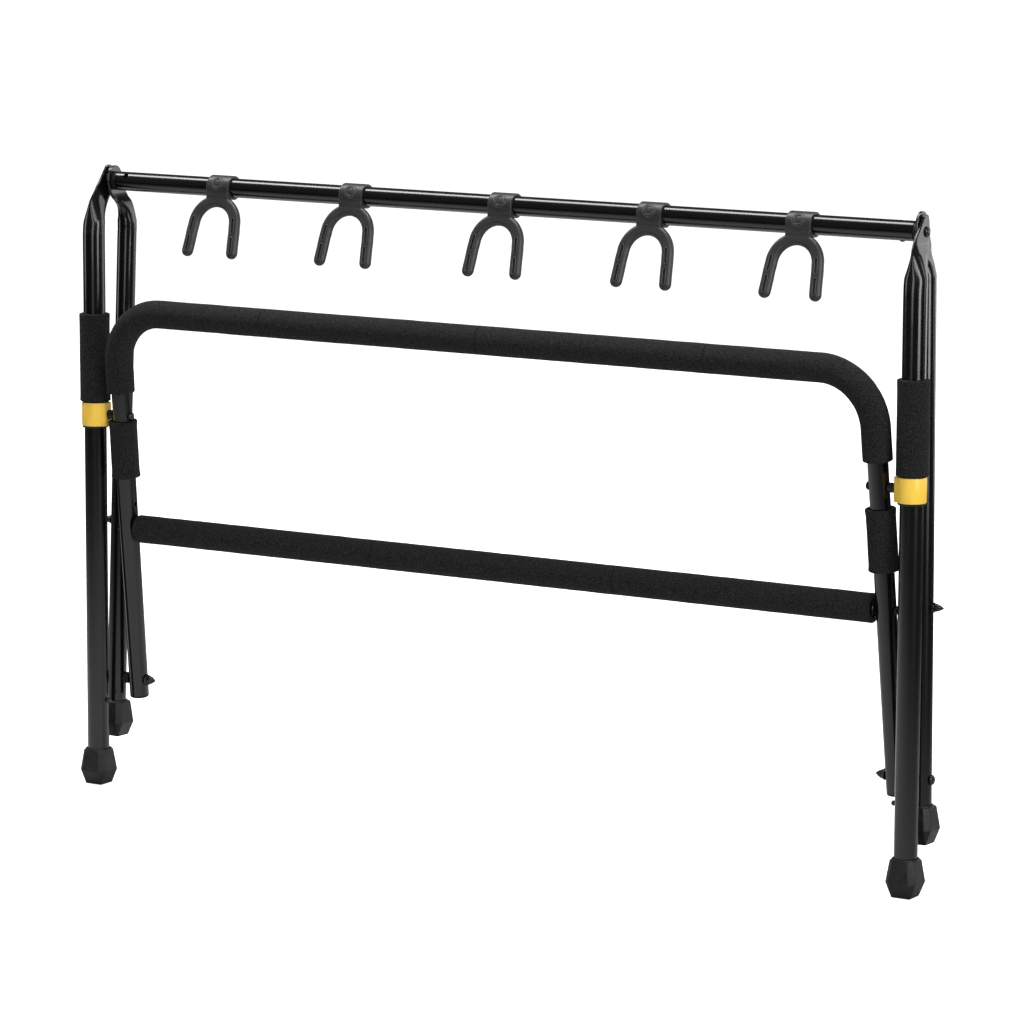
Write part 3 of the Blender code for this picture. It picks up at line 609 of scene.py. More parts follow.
def pressed_ring(side, z, x, front, back, half, full, sides=120):
    """A level slice of a flattened tube: an oval, full across, cut off flat at half each side.

    The two edges of a flattened part carry the pinch where the walls fold onto each other.
    """
    middle = (front + back) / 2
    reach = (back - front) / 2
    flatness = max(0.0, min(1.0, (1 - half / full) / 0.5))
    points = []
    for angle in ring_angles(sides):
        wide = abs(full * math.cos(angle))
        if wide > half + CREASE:
            across = half
        elif wide > half - CREASE:
            across = wide - (wide - half + CREASE) ** 2 / (4 * CREASE)
        else:
            across = wide
        pinch = PINCH * flatness * math.exp(-((wide / 0.0005) ** 2))
        depth = (reach - pinch) * math.sin(angle)
        points.append(at(side * (x + math.copysign(across, math.cos(angle))), middle + depth, z))
    return points


FRONT_LEG_LEVELS = (
    (-0.0760, 1.00, -0.0427, -0.0173, 0.0127, 0.0127),
    (-0.0600, 1.00, -0.0425, -0.0173, 0.0127, 0.0127),
    (-0.0500, 1.00, -0.0416, -0.0172, 0.0127, 0.0127),
    (-0.0455, 1.00, -0.0410, -0.0166, 0.0123, 0.0124),
    (-0.0385, 1.00, -0.0402, -0.0142, 0.0104, 0.0105),
    (-0.0305, 0.92, -0.0389, -0.0090, 0.0080, 0.0082),
    (-0.0220, 0.75, -0.0368, -0.0020, 0.0052, 0.0056),
    (-0.0165, 0.40, -0.0334, 0.0025, 0.0036, 0.0044),
    (-0.0100, 0.10, -0.0281, 0.0070, 0.0022, 0.0036),
    (-0.0050, 0.00, -0.0238, 0.0078, PLATE_HALF, PLATE_FULL),
    (0.0020, 0.00, -0.0172, 0.0078, PLATE_HALF, PLATE_FULL),
    (0.0080, 0.00, -0.0122, 0.0070, PLATE_HALF, PLATE_FULL),
    (0.0140, 0.00, -0.0072, 0.0053, PLATE_HALF, PLATE_FULL),
    (0.0172, 0.00, -0.0045, 0.0034, PLATE_HALF, PLATE_FULL),
)
REAR_LEG_LEVELS = (
    (-0.0560, 0.5119, 0.0073, 0.0295, 0.0111, 0.0111),
    (-0.0490, 0.5119, 0.0072, 0.0294, 0.0109, 0.0111),
    (-0.0480, 0.5119, 0.0072, 0.0294, 0.0107, 0.0111),
    (-0.0410, 0.5119, 0.0068, 0.0289, 0.0094, 0.0097),
    (-0.0343, 0.5119, 0.0052, 0.0280, 0.0080, 0.0085),
    (-0.0290, 0.5118, 0.0020, 0.0270, 0.0064, 0.0072),
    (-0.0240, 0.5122, -0.0030, 0.0256, 0.0050, 0.0060),
    (-0.0187, 0.5142, -0.0078, 0.0230, 0.0030, 0.0042),
    (-0.0125, REAR_PLATE_X, -0.0108, 0.0196, PLATE_HALF, PLATE_FULL),
    (-0.0060, REAR_PLATE_X, -0.0130, 0.0170, PLATE_HALF, PLATE_FULL),
    (0.0010, REAR_PLATE_X, -0.0150, 0.0150, PLATE_HALF, PLATE_FULL),
    (0.0080, REAR_PLATE_X, -0.0148, 0.0125, PLATE_HALF, PLATE_FULL),
)


def front_leg_rings(side, tag):
    rings = []
    radius = FRONT_RADIUS
    inner = radius - LEG_WALL
    for z, r in ((FRONT_BEND_Z - 0.02, inner), (LEG_BOTTOM_Z, inner), (LEG_BOTTOM_Z, radius)):
        rings.append(pressed_ring(side, z, FRONT_X, FRONT_Y - r, FRONT_Y + r, r, r))
    for z in (0.012, 0.090, 0.110, 0.30, 0.50, 0.600):
        front = FRONT_Y - radius
        back = FRONT_Y + radius
        rings.append(pressed_ring(side, z, FRONT_X, front, back, radius, radius))
    plate = FRONT_PLATE_X[tag]
    for rise in steps(-0.0760, 0.0172, 74):
        share, front, back, half, full = curve_value(FRONT_LEG_LEVELS, rise)
        x = plate + (FRONT_X - plate) * share
        rings.append(pressed_ring(side, AXIS.z + rise, x, front, back, half, full))
    for rise, half, ease in ((0.0176, 0.0016, 0.0006), (0.0178, 0.0012, 0.0016)):
        z = AXIS.z + rise
        rings.append(pressed_ring(side, z, plate, -0.0042 + ease, 0.0032 - ease, half, PLATE_FULL))
    return rings


def rear_axis(z):
    """Centre of the right rear leg at a height below its bend."""
    drop = REAR_BEND_Z - z
    return Vector((REAR_BEND_X + REAR_SPREAD * drop, REAR_BEND_Y - REAR_LEAN * drop, z))


def rear_point(side, z):
    spot = rear_axis(z)
    return at(side * spot.x, spot.y, z)


def rear_leg_rings(side, tag):
    rings = []
    radius = REAR_RADIUS
    inner = radius - LEG_WALL
    levels = [(0.60, inner), (REAR_BOTTOM_Z, inner), (REAR_BOTTOM_Z, radius), (0.11, radius)]
    levels += [(z, radius) for z in (0.13, 0.295, 0.313, 0.50, 0.636)]
    for z, r in levels:
        spot = rear_axis(z)
        rings.append(pressed_ring(side, z, spot.x, spot.y - r, spot.y + r, r, r))
    for rise in steps(-0.0560, 0.0080, 54):
        x, front, back, half, full = curve_value(REAR_LEG_LEVELS, rise)
        rings.append(pressed_ring(side, AXIS.z + rise, x, front, back, half, full))
    top = REAR_TOP[tag] - 0.0080
    knots = ((0.0, -0.0148, 0.0125), (0.47, -0.0118, 0.0095), (0.80, -0.0080, 0.0062))
    knots += ((0.94, -0.0052, 0.0036), (1.0, -0.0030, 0.0018))
    for share in steps(0.1, 1.0, 9):
        front, back = curve_value(knots, share)
        z = AXIS.z + 0.0080 + top * share
        half = PLATE_HALF if share < 0.95 else PLATE_HALF * 0.75
        rings.append(pressed_ring(side, z, REAR_PLATE_X, front, back, half, PLATE_FULL))
    return rings


def build_front_leg(side, tag):
    name = "front_leg_" + tag
    leg = loft(name + "_tube", front_leg_rings(side, tag))
    out = X_AXIS * side
    drill(leg, at(side * 0.505, 0, AXIS.z), out, 0.030, BOLT_HOLE)
    drill(leg, at(side * 0.505, FRONT_Y, STOP_Z), out, 0.015, SMALL_BOLT_HOLE)
    place(leg, "front_frame", "painted_steel", name, angle=40)
    name = "stop_pin_" + tag
    profile = [(0, 0.0020), (0.0003, 0.0025), (0.0009, SMALL_BOLT_RADIUS)]
    profile += [(0.0066, SMALL_BOLT_RADIUS)]
    spot = at(side * 0.5068, FRONT_Y, STOP_Z)
    turned_piece(name, "_peg", "front_frame", "black_hardware", spot, out, profile, 32)


def build_rear_leg(side, tag):
    name = "rear_leg_" + tag
    leg = loft(name + "_tube", rear_leg_rings(side, tag))
    out = X_AXIS * side
    drill(leg, at(side * 0.490, 0, AXIS.z), out, 0.050, BOLT_HOLE)
    drill(leg, at(side * 0.490, LINK_Y, LINK_Z), out, 0.060, BOLT_HOLE)
    spot = at(side * 0.490, rear_axis(BUMPER_Z).y, BUMPER_Z)
    drill(leg, spot, out, 0.060, SMALL_BOLT_HOLE)
    place(leg, "rear_legs", "painted_steel", name, angle=40)


# ---------------------------------------------------------------- feet


def foot_ring(centre, up, flat, cut, roundness):
    """A square with its corners cut off, eased towards a circle. cut is half of a flat's length."""
    across = (X_AXIS - up * up.x).normalized()
    over = up.cross(across)
    quarter = [(flat, b) for b in steps(-cut, cut, 7)[:-1]]
    quarter += [(flat + (cut - flat) * i / 5, cut + (flat - cut) * i / 5) for i in range(5)]
    turns = [-33 + 66 * i / 7 for i in range(7)] + [33 + 24 * i / 5 for i in range(5)]
    points = []
    for _ in range(4):
        for (a, b), turn in zip(quarter, turns):
            angle = math.radians(turn)
            a += (flat * math.cos(angle) - a) * roundness
            b += (flat * math.sin(angle) - b) * roundness
            points.append(centre + across * a + over * b)
        across, over = over, -across
    return points


FOOT_OUTLINE = (
    (0.0000, 0.0106, 0.0101, 0.0),
    (0.0008, 0.0112, 0.0107, 0.0),
    (0.0164, 0.0177, 0.0118, 0.0),
    (0.0280, 0.0161, 0.0105, 0.0),
    (0.0345, 0.0153, 0.0098, 0.05),
    (0.0392, 0.0149, 0.0093, 0.15),
    (0.0402, 0.0148, 0.0092, 0.30),
)


def build_foot(name, body, floor, up, bore, width):
    """A hollow boot with eight sides that widens and narrows again, and two plain rings on it."""
    rings = []
    for height, flat, cut, roundness in FOOT_OUTLINE:
        rings.append(foot_ring(floor + up * height, up, flat * width, cut * width, roundness))
    rim = bore + 0.0018
    mouth = [(0.0406, rim + 0.0002), (0.0416, rim), (0.0420, rim - 0.0004)]
    mouth += [(0.0420, bore + 0.0006), (0.0412, bore + 0.0001), (0.0065, bore)]
    for height, radius in mouth:
        rings.append(foot_ring(floor + up * height, up, radius, FOOT_RIM_CUT, 1.0))
    foot = loft(name + "_boot", rings)
    step = foot.modifiers.new("ease", "BEVEL")
    step.width = 0.00035
    step.segments = 3
    step.limit_method = "ANGLE"
    step.angle_limit = math.radians(14)
    apply_modifiers(foot)
    place(foot, body, "black_rubber", name, angle=30)
    low = (0.0164, 0.0177 * width)
    high = (0.0345, 0.0153 * width)
    front = -(Y_AXIS - up * up.y).normalized()
    across = (X_AXIS - up * up.x).normalized()
    slope = (up * (high[0] - low[0]) + front * (high[1] - low[1])).normalized()
    middle = floor + up * 0.0280 + front * (low[1] + (high[1] - low[1]) * 0.64)
    for part, radius in (("outer", 0.0090), ("inner", 0.0068)):
        ring = name + "_plain_ring_" + part
        mark = ring_on(ring, lambda a, b: middle + across * a + slope * b, radius * width)
        place(mark, body, "black_rubber")


def ring_on(name, surface, radius, thick=0.00042, sides=64):
    """A thin raised ring that lies on a surface given by a function of two lengths."""
    rings = []
    for i in range(sides):
        angle = 2 * math.pi * i / sides
        spot = surface(radius * math.cos(angle), radius * math.sin(angle))
        beyond = surface((radius + 0.001) * math.cos(angle), (radius + 0.001) * math.sin(angle))
        later = surface(radius * math.cos(angle + 0.01), radius * math.sin(angle + 0.01))
        out = (beyond - spot).normalized()
        lift = out.cross((later - spot).normalized())
        rings.append(slot_ring(spot, out, lift, thick, thick, 10))
    return loft(name, rings, True)


def build_feet():
    for side, tag in SIDES:
        floor = at(side * FRONT_X, FRONT_Y, 0)
        name = "front_foot_" + tag
        build_foot(name, "front_frame", floor, Z_AXIS, FRONT_RADIUS + 0.0004, 1.0)
        floor = rear_point(side, REAR_FOOT_Z)
        up = (rear_point(side, 0.5) - floor).normalized()
        name = "rear_foot_" + tag
        build_foot(name, "rear_legs", floor, up, REAR_RADIUS + 0.0004, REAR_FOOT_SIZE)


# ---------------------------------------------------------------- collars


def collar_reach(angle):
    """How far the cover reaches at an angle: a circle drawn out to a flat face."""
    corner = math.atan2(COLLAR_FLAT_HALF, COLLAR_FLAT)
    far = math.hypot(COLLAR_FLAT_HALF, COLLAR_FLAT)
    touch = corner + math.acos(COLLAR_RADIUS / far)
    fold = min(angle, 2 * math.pi - angle)
    if fold < corner:
        return COLLAR_FLAT / math.cos(fold)
    if fold < touch:
        return COLLAR_RADIUS / math.cos(touch - fold)
    return COLLAR_RADIUS


def collar_ring(side, z, swell):
    """A slice of the cover, with its flat's corners rounded over."""
    points = []
    for angle in ring_angles(COLLAR_SIDES):
        r = sum(collar_reach((angle + turn) % (2 * math.pi)) for turn in steps(-0.09, 0.09, 6)) / 7
        x = FRONT_X - (r + swell) * math.cos(angle)
        points.append(at(side * x, FRONT_Y + (r + swell) * math.sin(angle), z))
    return points


def build_collar(side, tag):
    """The yellow cover, the sleeve inside it, and the cradle's upper pivot bolt and spacer."""
    low, high = COLLAR_Z
    levels = [(low, -0.0007), (low + 0.0002, -0.0003), (low + 0.0007, 0.0)]
    levels += [((low + high) / 2, 0.00008), (high - 0.0007, 0.0), (high - 0.0002, -0.0003)]
    levels += [(high, -0.0007)]
    rings = [collar_ring(side, z, swell) for z, swell in levels]
    for z in (high, low):
        centre = at(side * FRONT_X, FRONT_Y, z)
        ring = []
        for angle in ring_angles(COLLAR_SIDES):
            along = Vector((-side * math.cos(angle), math.sin(angle), 0))
            ring.append(centre + along * COLLAR_BORE)
        rings.append(ring)
    name = "collar_" + tag
    collar = loft(name + "_cover", rings, True)
    drill(collar, at(side * 0.5045, FRONT_Y, CRADLE_PIVOT_Z), X_AXIS * side, 0.012, BOLT_HOLE)
    place(collar, "collars", "yellow_plastic", name)
    name = "slider_" + tag
    start = at(side * FRONT_X, FRONT_Y, low - 0.0022)
    top = high - low + 0.0018
    profile = [(0, 0.0145), (0.0003, 0.0149), (0.0006, 0.0150), (0.0019, 0.0150)]
    profile += [(0.0019, 0.0140), (top, 0.0140), (top, 0.0130), (0, 0.0130)]
    slider = turned(name + "_sleeve", start, Z_AXIS, profile, 64, True)
    drill(slider, at(side * 0.505, FRONT_Y, CRADLE_PIVOT_Z), X_AXIS * side, 0.012, BOLT_HOLE)
    place(slider, "collars", "black_rubber", name)
    name = "cradle_bolt_" + tag
    head = CRADLE_X - TUBE_RADIUS - 0.0003
    root = FRONT_X - 0.0135
    start = at(side * root, FRONT_Y, CRADLE_PIVOT_Z)
    reach = root - head
    profile = [(0, BOLT_RADIUS), (reach, BOLT_RADIUS)] + dome(reach, 0.0049, 0.0035)
    turned_piece(name, "_rivet", "collars", "black_hardware", start, X_AXIS * -side, profile)
    name = "cradle_spacer_" + tag
    outer = FRONT_X - COLLAR_FLAT - 0.0003
    inner = CRADLE_X + TUBE_RADIUS + 0.0004
    washer(name, "collars", at(side * inner, FRONT_Y, CRADLE_PIVOT_Z), side, outer - inner, 0.0053)


def build_leg_washer():
    inner = REAR_PLATE_X + PLATE_HALF + 0.0004
    length = FRONT_PLATE_X["left"] - PLATE_HALF - 0.0004 - inner
    washer("leg_washer_left", "front_frame", at(-inner, 0, AXIS.z), -1, length, 0.0075)


def washer(name, body, start, side, length, outer):
    ease = 0.0004
    profile = [(0, outer - ease), (ease, outer), (length - ease, outer), (length, outer - ease)]
    profile += [(length, BOLT_HOLE), (0, BOLT_HOLE)]
    turned_piece(name, "_bush", body, "black_rubber", start, X_AXIS * side, profile, 40, True)


# ---------------------------------------------------------------- cradle


def on_cradle(across, up):
    return at(across, FRONT_Y, CRADLE_PIVOT_Z) + CRADLE_UP * up


def cradle_leg_x(up):
    return CRADLE_X - CRADLE_SPREAD * up


def cradle_path(turn_steps=30):
    """Centre line of the bent tube from the left end over the top to the right end."""
    lean = math.atan(CRADLE_SPREAD)
    turn = math.pi / 2 - lean
    cut = CRADLE_BEND * math.tan(turn / 2)
    centre_x = cradle_leg_x(CRADLE_TOP) - cut
    centre_up = CRADLE_TOP - CRADLE_BEND
    half = [(x, CRADLE_TOP) for x in steps(0, centre_x - 0.004, 60)]
    for i in range(turn_steps + 1):
        angle = math.pi / 2 - turn * i / turn_steps
        x = centre_x + CRADLE_BEND * math.cos(angle)
        half.append((x, centre_up + CRADLE_BEND * math.sin(angle)))
    last_up = half[-1][1]
    for up in steps(last_up - 0.006, CRADLE_BOTTOM, 60):
        half.append((cradle_leg_x(up), up))
    left = [(-x, up) for x, up in half[:0:-1]]
    return [on_cradle(x, up) for x, up in left + half]


def path_lengths(points):
    lengths = [0.0]
    for a, b in zip(points, points[1:]):
        lengths.append(lengths[-1] + (b - a).length)
    return lengths


def point_at(points, lengths, place):
    low, high = 0, len(points) - 1
    while high - low > 1:
        middle = (low + high) // 2
        if lengths[middle] <= place:
            low = middle
        else:
            high = middle
    share = (place - lengths[low]) / (lengths[high] - lengths[low])
    return points[low].lerp(points[high], share)


def resampled(points, start, stop, spacing):
    """Evenly spaced points of a path between two lengths measured from its middle."""
    lengths = path_lengths(points)
    half = lengths[-1] / 2
    count = max(4, round((stop - start) / spacing))
    return [point_at(points, lengths, half + place) for place in steps(start, stop, count)]


def leg_length_at(points, up):
    total = path_lengths(points)[-1]
    return total / 2 - (up - CRADLE_BOTTOM) * math.hypot(1, CRADLE_SPREAD)


def swept_rings(points, normal, radii, sides):
    rings = []
    for point, along, radius in zip(points, tangents(points), radii):
        rings.append(slot_ring(point, normal, along.cross(normal), radius, radius, sides))
    return rings


def build_cradle_tube():
    points = cradle_path()
    outside = swept_rings(points, CRADLE_NORMAL, [TUBE_RADIUS] * len(points), 48)
    inside = swept_rings(points, CRADLE_NORMAL, [TUBE_RADIUS - TUBE_WALL] * len(points), 48)
    tube = loft("cradle_tube_bent", outside + inside[::-1], True)
    link_up = (LINK_Z - CRADLE_PIVOT_Z) / math.cos(CRADLE_SLOPE)
    holes = ((0.0, BOLT_HOLE), (link_up, BOLT_HOLE), (CROSS_UP, SMALL_BOLT_HOLE))
    holes += ((SPARE_HOLE_UP, SPARE_HOLE_RADIUS),)
    for side, _ in SIDES:
        for up, radius in holes:
            start = on_cradle(side * (cradle_leg_x(up) - 0.02), up)
            drill(tube, start, X_AXIS * side, 0.04, radius)
    place(tube, "cradle", "painted_steel", "cradle_tube", angle=40)
    for side, tag in SIDES:
        name = "cradle_cap_" + tag
        end = on_cradle(side * cradle_leg_x(CRADLE_BOTTOM), CRADLE_BOTTOM)
        up = (on_cradle(side * cradle_leg_x(0), 0) - end).normalized()
        fit = TUBE_RADIUS - TUBE_WALL - 0.0003
        profile = [(-0.0030, 0.0050), (-0.0029, 0.0080), (-0.0026, 0.0097), (-0.0020, 0.0107)]
        profile += [(-0.0012, 0.0110), (-0.0003, 0.0110), (-0.0003, fit), (0.0080, fit)]
        turned_piece(name, "_plug", "cradle", "black_rubber", end, up, profile, 56)


# ---------------------------------------------------------------- foam sleeves


def foam_sleeve(node, body, points, normal, inner, outer, ease, flare=0.0):
    """A soft sleeve along a path: eased ends, a gently uneven skin and a real wall."""
    lengths = path_lengths(points)
    total = lengths[-1]
    rows = []
    for i in range(7):
        turn = math.pi / 2 * i / 6
        rows.append((ease * (1 - math.cos(turn)), ease * (1 - math.sin(turn))))
    middle = steps(ease * 1.4, total - ease * 1.4, max(6, round(total / 0.0022)))
    spots = rows + [(along, 0.0) for along in middle]
    spots += [(total - along, drop) for along, drop in rows[::-1]]
    rings = []
    sides = FOAM_SIDES
    line = [point_at(points, lengths, min(max(a, 0.0), total)) for a, _ in spots]
    ways = path_ways(points, lengths, [a for a, _ in spots])
    for (along, drop), centre, way in zip(spots, line, ways):
        over = way.cross(normal)
        near_end = min(along, total - along)
        swell = flare * math.exp(-((near_end / 0.005) ** 2))
        ring = []
        for angle in ring_angles(sides):
            out = normal * math.cos(angle) + over * math.sin(angle)
            spot = centre + out * outer
            skin = 0.00022 * noise.noise(spot * 38) + 0.00009 * noise.noise(spot * 150)
            ring.append(centre + out * (outer - drop + swell + skin))
        rings.append(ring)
    rings += inner_line(points, lengths, normal, inner, sides)
    sleeve = loft(node + "_sleeve", rings, True)
    place(sleeve, body, "foam", node, angle=0)
    for face in sleeve.data.polygons:
        face.use_smooth = True


def path_ways(points, lengths, places):
    """Smooth direction of a path at each place along it."""
    total = lengths[-1]
    ways = []
    for along in places:
        low = max(along - WAY_REACH, 0.0)
        high = min(along + WAY_REACH, total)
        a = point_at(points, lengths, low)
        b = point_at(points, lengths, high)
        ways.append((b - a).normalized())
    return ways


def inner_line(points, lengths, normal, inner, sides):
    """The rings of a sleeve's inner wall, from its far end back to its start."""
    total = lengths[-1]
    places = steps(total, 0.0, max(4, round(total / 0.006)))
    rings = []
    for along, way in zip(places, path_ways(points, lengths, places)):
        centre = point_at(points, lengths, along)
        rings.append(slot_ring(centre, normal, way.cross(normal), inner, inner, sides))
    return rings


def build_foam():
    for side, tag in SIDES:
        low, high = LEG_FOAM
        points = [at(side * FRONT_X, FRONT_Y, z) for z in (low, (low + high) / 2, high)]
        inner = FRONT_RADIUS + FOAM_GAP
        node = "leg_foam_" + tag
        foam_sleeve(node, "front_frame", points, X_AXIS, inner, LEG_FOAM_RADIUS, 0.0014, 0.0002)
    points = cradle_path()
    end = leg_length_at(points, CRADLE_FOAM_END)
    marks = (-end,) + CRADLE_SEAMS + (end,)
    inner = TUBE_RADIUS + FOAM_GAP
    for i, (start, stop) in enumerate(zip(marks, marks[1:])):
        stretch = resampled(points, start + 0.0002, stop - 0.0002, 0.002)
        node = "cradle_foam_" + str(i + 1)
        foam_sleeve(node, "cradle", stretch, CRADLE_NORMAL, inner, FOAM_RADIUS, 0.0009)
    for side, tag in SIDES:
        low, high = SIDE_FOAM[tag]
        stretch = [on_cradle(side * cradle_leg_x(up), up) for up in steps(low, high, 4)]
        node = "side_foam_" + tag
        foam_sleeve(node, "cradle", stretch, CRADLE_NORMAL, inner, FOAM_RADIUS, 0.0011, 0.0007)
    marks = (-CROSS_FOAM_END,) + CROSS_SEAMS + (CROSS_FOAM_END,)
    for i, (low, high) in enumerate(zip(marks, marks[1:])):
        stretch = [on_cradle(x, CROSS_UP) for x in steps(low + 0.0002, high - 0.0002, 4)]
        node = "cross_foam_" + str(i + 1)
        inner = CROSS_RADIUS + FOAM_GAP
        foam_sleeve(node, "cradle", stretch, CRADLE_NORMAL, inner, FOAM_RADIUS, 0.0009)


# ---------------------------------------------------------------- bolts


def build_cross_bar():
    half = cradle_leg_x(CROSS_UP) - TUBE_RADIUS - 0.0004
    profile = [(0, CROSS_RADIUS - 0.0003), (0.0003, CROSS_RADIUS)]
    profile += [(2 * half - 0.0003, CROSS_RADIUS), (2 * half, CROSS_RADIUS - 0.0003)]
    profile += [(2 * half, 0.0083), (0, 0.0083)]
    start = on_cradle(-half, CROSS_UP)
    name = "cross_tube"
    turned_piece(name, "_round", "cradle", "painted_steel", start, X_AXIS, profile, 56, True)
    for side, tag in SIDES:
        name = "cross_bolt_" + tag
        face = cradle_leg_x(CROSS_UP) + TUBE_RADIUS + 0.0004
        spot = on_cradle(side * (half - 0.012), CROSS_UP)
        reach = face - (half - 0.012)
        profile = [(0, SMALL_BOLT_RADIUS), (reach, SMALL_BOLT_RADIUS)]
        profile += dome(reach, 0.0050, 0.0024)
        turned_piece(name, "_rivet", "cradle", "black_hardware", spot, X_AXIS * side, profile)


def cap_nut(name, start, direction, profile, reach, width, length):
    """A shank that ends in a six-sided flange and a pointed cap."""
    sides = 48
    across = Z_AXIS
    over = direction.cross(across)
    rings = [slot_ring(start + direction * a, across, over, r, r, sides) for a, r in profile]
    hexes = [(reach, 0.93), (reach + 0.0004, 1.0), (reach + 0.0022, 1.0), (reach + 0.0027, 0.93)]
    for along, share in hexes:
        rings.append(hex_ring(start + direction * along, across, over, width * share, sides))
    cone = ((0.0028, 0.80), (0.0045, 0.78), (0.0062, 0.70), (0.0080, 0.56), (0.0098, 0.38))
    scale = length / CONE_LENGTH
    cone += ((0.0112, 0.24), (0.0121, 0.15), (0.0125, 0.05))
    for along, share in cone:
        spot = start + direction * (reach + along * scale)
        rings.append(slot_ring(spot, across, over, width * share, width * share, sides))
    return loft(name, rings)


def hex_ring(centre, across, over, corner, sides):
    points = []
    for angle in ring_angles(sides):
        fold = (angle % (math.pi / 3)) - math.pi / 6
        r = corner * 0.90 / max(math.cos(fold), 0.90)
        points.append(centre + (across * math.cos(angle) + over * math.sin(angle)) * r)
    return points


def build_links(side, tag):
    outer = rear_axis(LINK_Z).x + REAR_RADIUS + 0.0003
    up = (LINK_Z - CRADLE_PIVOT_Z) / math.cos(CRADLE_SLOPE)
    inner = cradle_leg_x(up) + TUBE_RADIUS + 0.0006
    start = at(side * inner, LINK_Y, LINK_Z)
    reach = outer - inner
    name = "link_bolt_" + tag
    profile = [(0, BOLT_RADIUS), (reach, BOLT_RADIUS)] + dome(reach, 0.0056, 0.0032)
    turned_piece(name, "_rivet", "rear_legs", "black_hardware", start, X_AXIS * side, profile)
    length = rear_axis(LINK_Z).x - REAR_RADIUS - 0.0003 - inner
    washer("link_spacer_" + tag, "rear_legs", start, side, length, 0.0065)
    name = "link_cap_" + tag
    face = cradle_leg_x(up) - TUBE_RADIUS - 0.0003
    stub = cradle_leg_x(up) + TUBE_RADIUS - 0.0004
    reach = stub - face
    spot = at(side * stub, LINK_Y, LINK_Z)
    shank = [(0, BOLT_RADIUS), (reach, BOLT_RADIUS)]
    nut = cap_nut(name + "_nut", spot, X_AXIS * -side, shank, reach, 0.0066, 0.0125)
    place(nut, "cradle", "black_hardware", name)
    centre = rear_axis(BUMPER_Z)
    inner = centre.x - REAR_RADIUS - 0.0003
    outer = centre.x + REAR_RADIUS + 0.0003
    start = at(side * (inner - 0.0028), centre.y, BUMPER_Z)
    reach = outer - inner + 0.0028
    name = "bumper_bolt_" + tag
    shank = [(0, 0.0022), (0.0004, 0.0035), (0.0012, 0.0047), (0.0024, 0.0050), (0.0028, 0.0049)]
    shank += [(0.0028, SMALL_BOLT_RADIUS), (reach, SMALL_BOLT_RADIUS)]
    nut = cap_nut(name + "_nut", start, X_AXIS * side, shank, reach, 0.0054, 0.0130)
    place(nut, "rear_legs", "black_hardware", name)


# ---------------------------------------------------------------- yokes


def yoke_point(x, across, down, forward):
    """A point of a yoke in its own tilted frame, measured from the bar's centre."""
    fall = Vector((0, -math.sin(YOKE_TILT), -math.cos(YOKE_TILT)))
    front = Vector((0, -math.cos(YOKE_TILT), math.sin(YOKE_TILT)))
    return at(x + across, 0, AXIS.z) + fall * down + front * forward


def fork_path():
    tip_across, tip_down = PRONG_TIP
    knots = ((ARCH_CENTRE, ARCH_RADIUS), (0.052, 0.0284), (0.062, 0.0290), (tip_down, tip_across))
    side = []
    for down in steps(tip_down, ARCH_CENTRE + 0.002, 14):
        side.append((curve_value(knots, down)[0], down))
    for i in range(25):
        angle = math.pi / 2 * i / 24
        side.append((ARCH_RADIUS * math.cos(angle), ARCH_CENTRE - ARCH_RADIUS * math.sin(angle)))
    left = [(-across, down) for across, down in side]
    return left + side[-2::-1]


def fork_rings():
    points = [yoke_point(0, across, down, YOKE_FORWARD) for across, down in fork_path()]
    front = (yoke_point(0, 0, 0, 1) - yoke_point(0, 0, 0, 0)).normalized()
    along = tangents(points)
    tips = []
    for i in range(1, 7):
        turn = math.pi / 2 * i / 6.4
        wide = PRONG_HALF * math.cos(turn)
        thin = min(PRONG_THIN * math.cos(turn) ** 0.6, wide * 0.98)
        tips.append((0.0068 * math.sin(turn), wide, thin))
    rings = []
    for step, wide, thin in reversed(tips):
        spot = points[0] - along[0] * step
        rings.append(slot_ring(spot, front, along[0].cross(front), thin, wide, 28))
    for spot, line in zip(points, along):
        rings.append(slot_ring(spot, front, line.cross(front), PRONG_THIN, PRONG_HALF, 28))
    for step, wide, thin in tips:
        spot = points[-1] + along[-1] * step
        rings.append(slot_ring(spot, front, along[-1].cross(front), thin, wide, 28))
    return rings


def clip_rings():
    """The clip as a C that is open at the back, drawn once at each of its two ends."""
    start = math.radians(-142)
    end = math.radians(128)
    count = 60
    rings = []
    for across in (-CLIP_HALF, CLIP_HALF):
        ring = []
        for radius, order in ((CLIP_RADIUS, range(count + 1)), (0.0095, range(count, -1, -1))):
            for i in order:
                angle = start + (end - start) * i / count
                down = -radius * math.sin(angle)
                ring.append(yoke_point(0, across, down, radius * math.cos(angle)))
        rings.append(ring)
    return rings


def neck_rings():
    """A strap that carries the clip down into the fork and stops in a low step there."""
    back = YOKE_FORWARD - PRONG_THIN + 0.0005
    front = YOKE_FORWARD + PRONG_THIN
    corners = ((0.0040, back), (0.0040, front + 0.0010), (0.0122, front + 0.0008))
    corners += ((0.0126, front - 0.0001), (0.0150, front - 0.0001), (0.0150, back))
    rings = []
    for across in (-CLIP_HALF + 0.0004, CLIP_HALF - 0.0004):
        rings.append([yoke_point(0, across, down, forward) for down, forward in corners])
    return rings


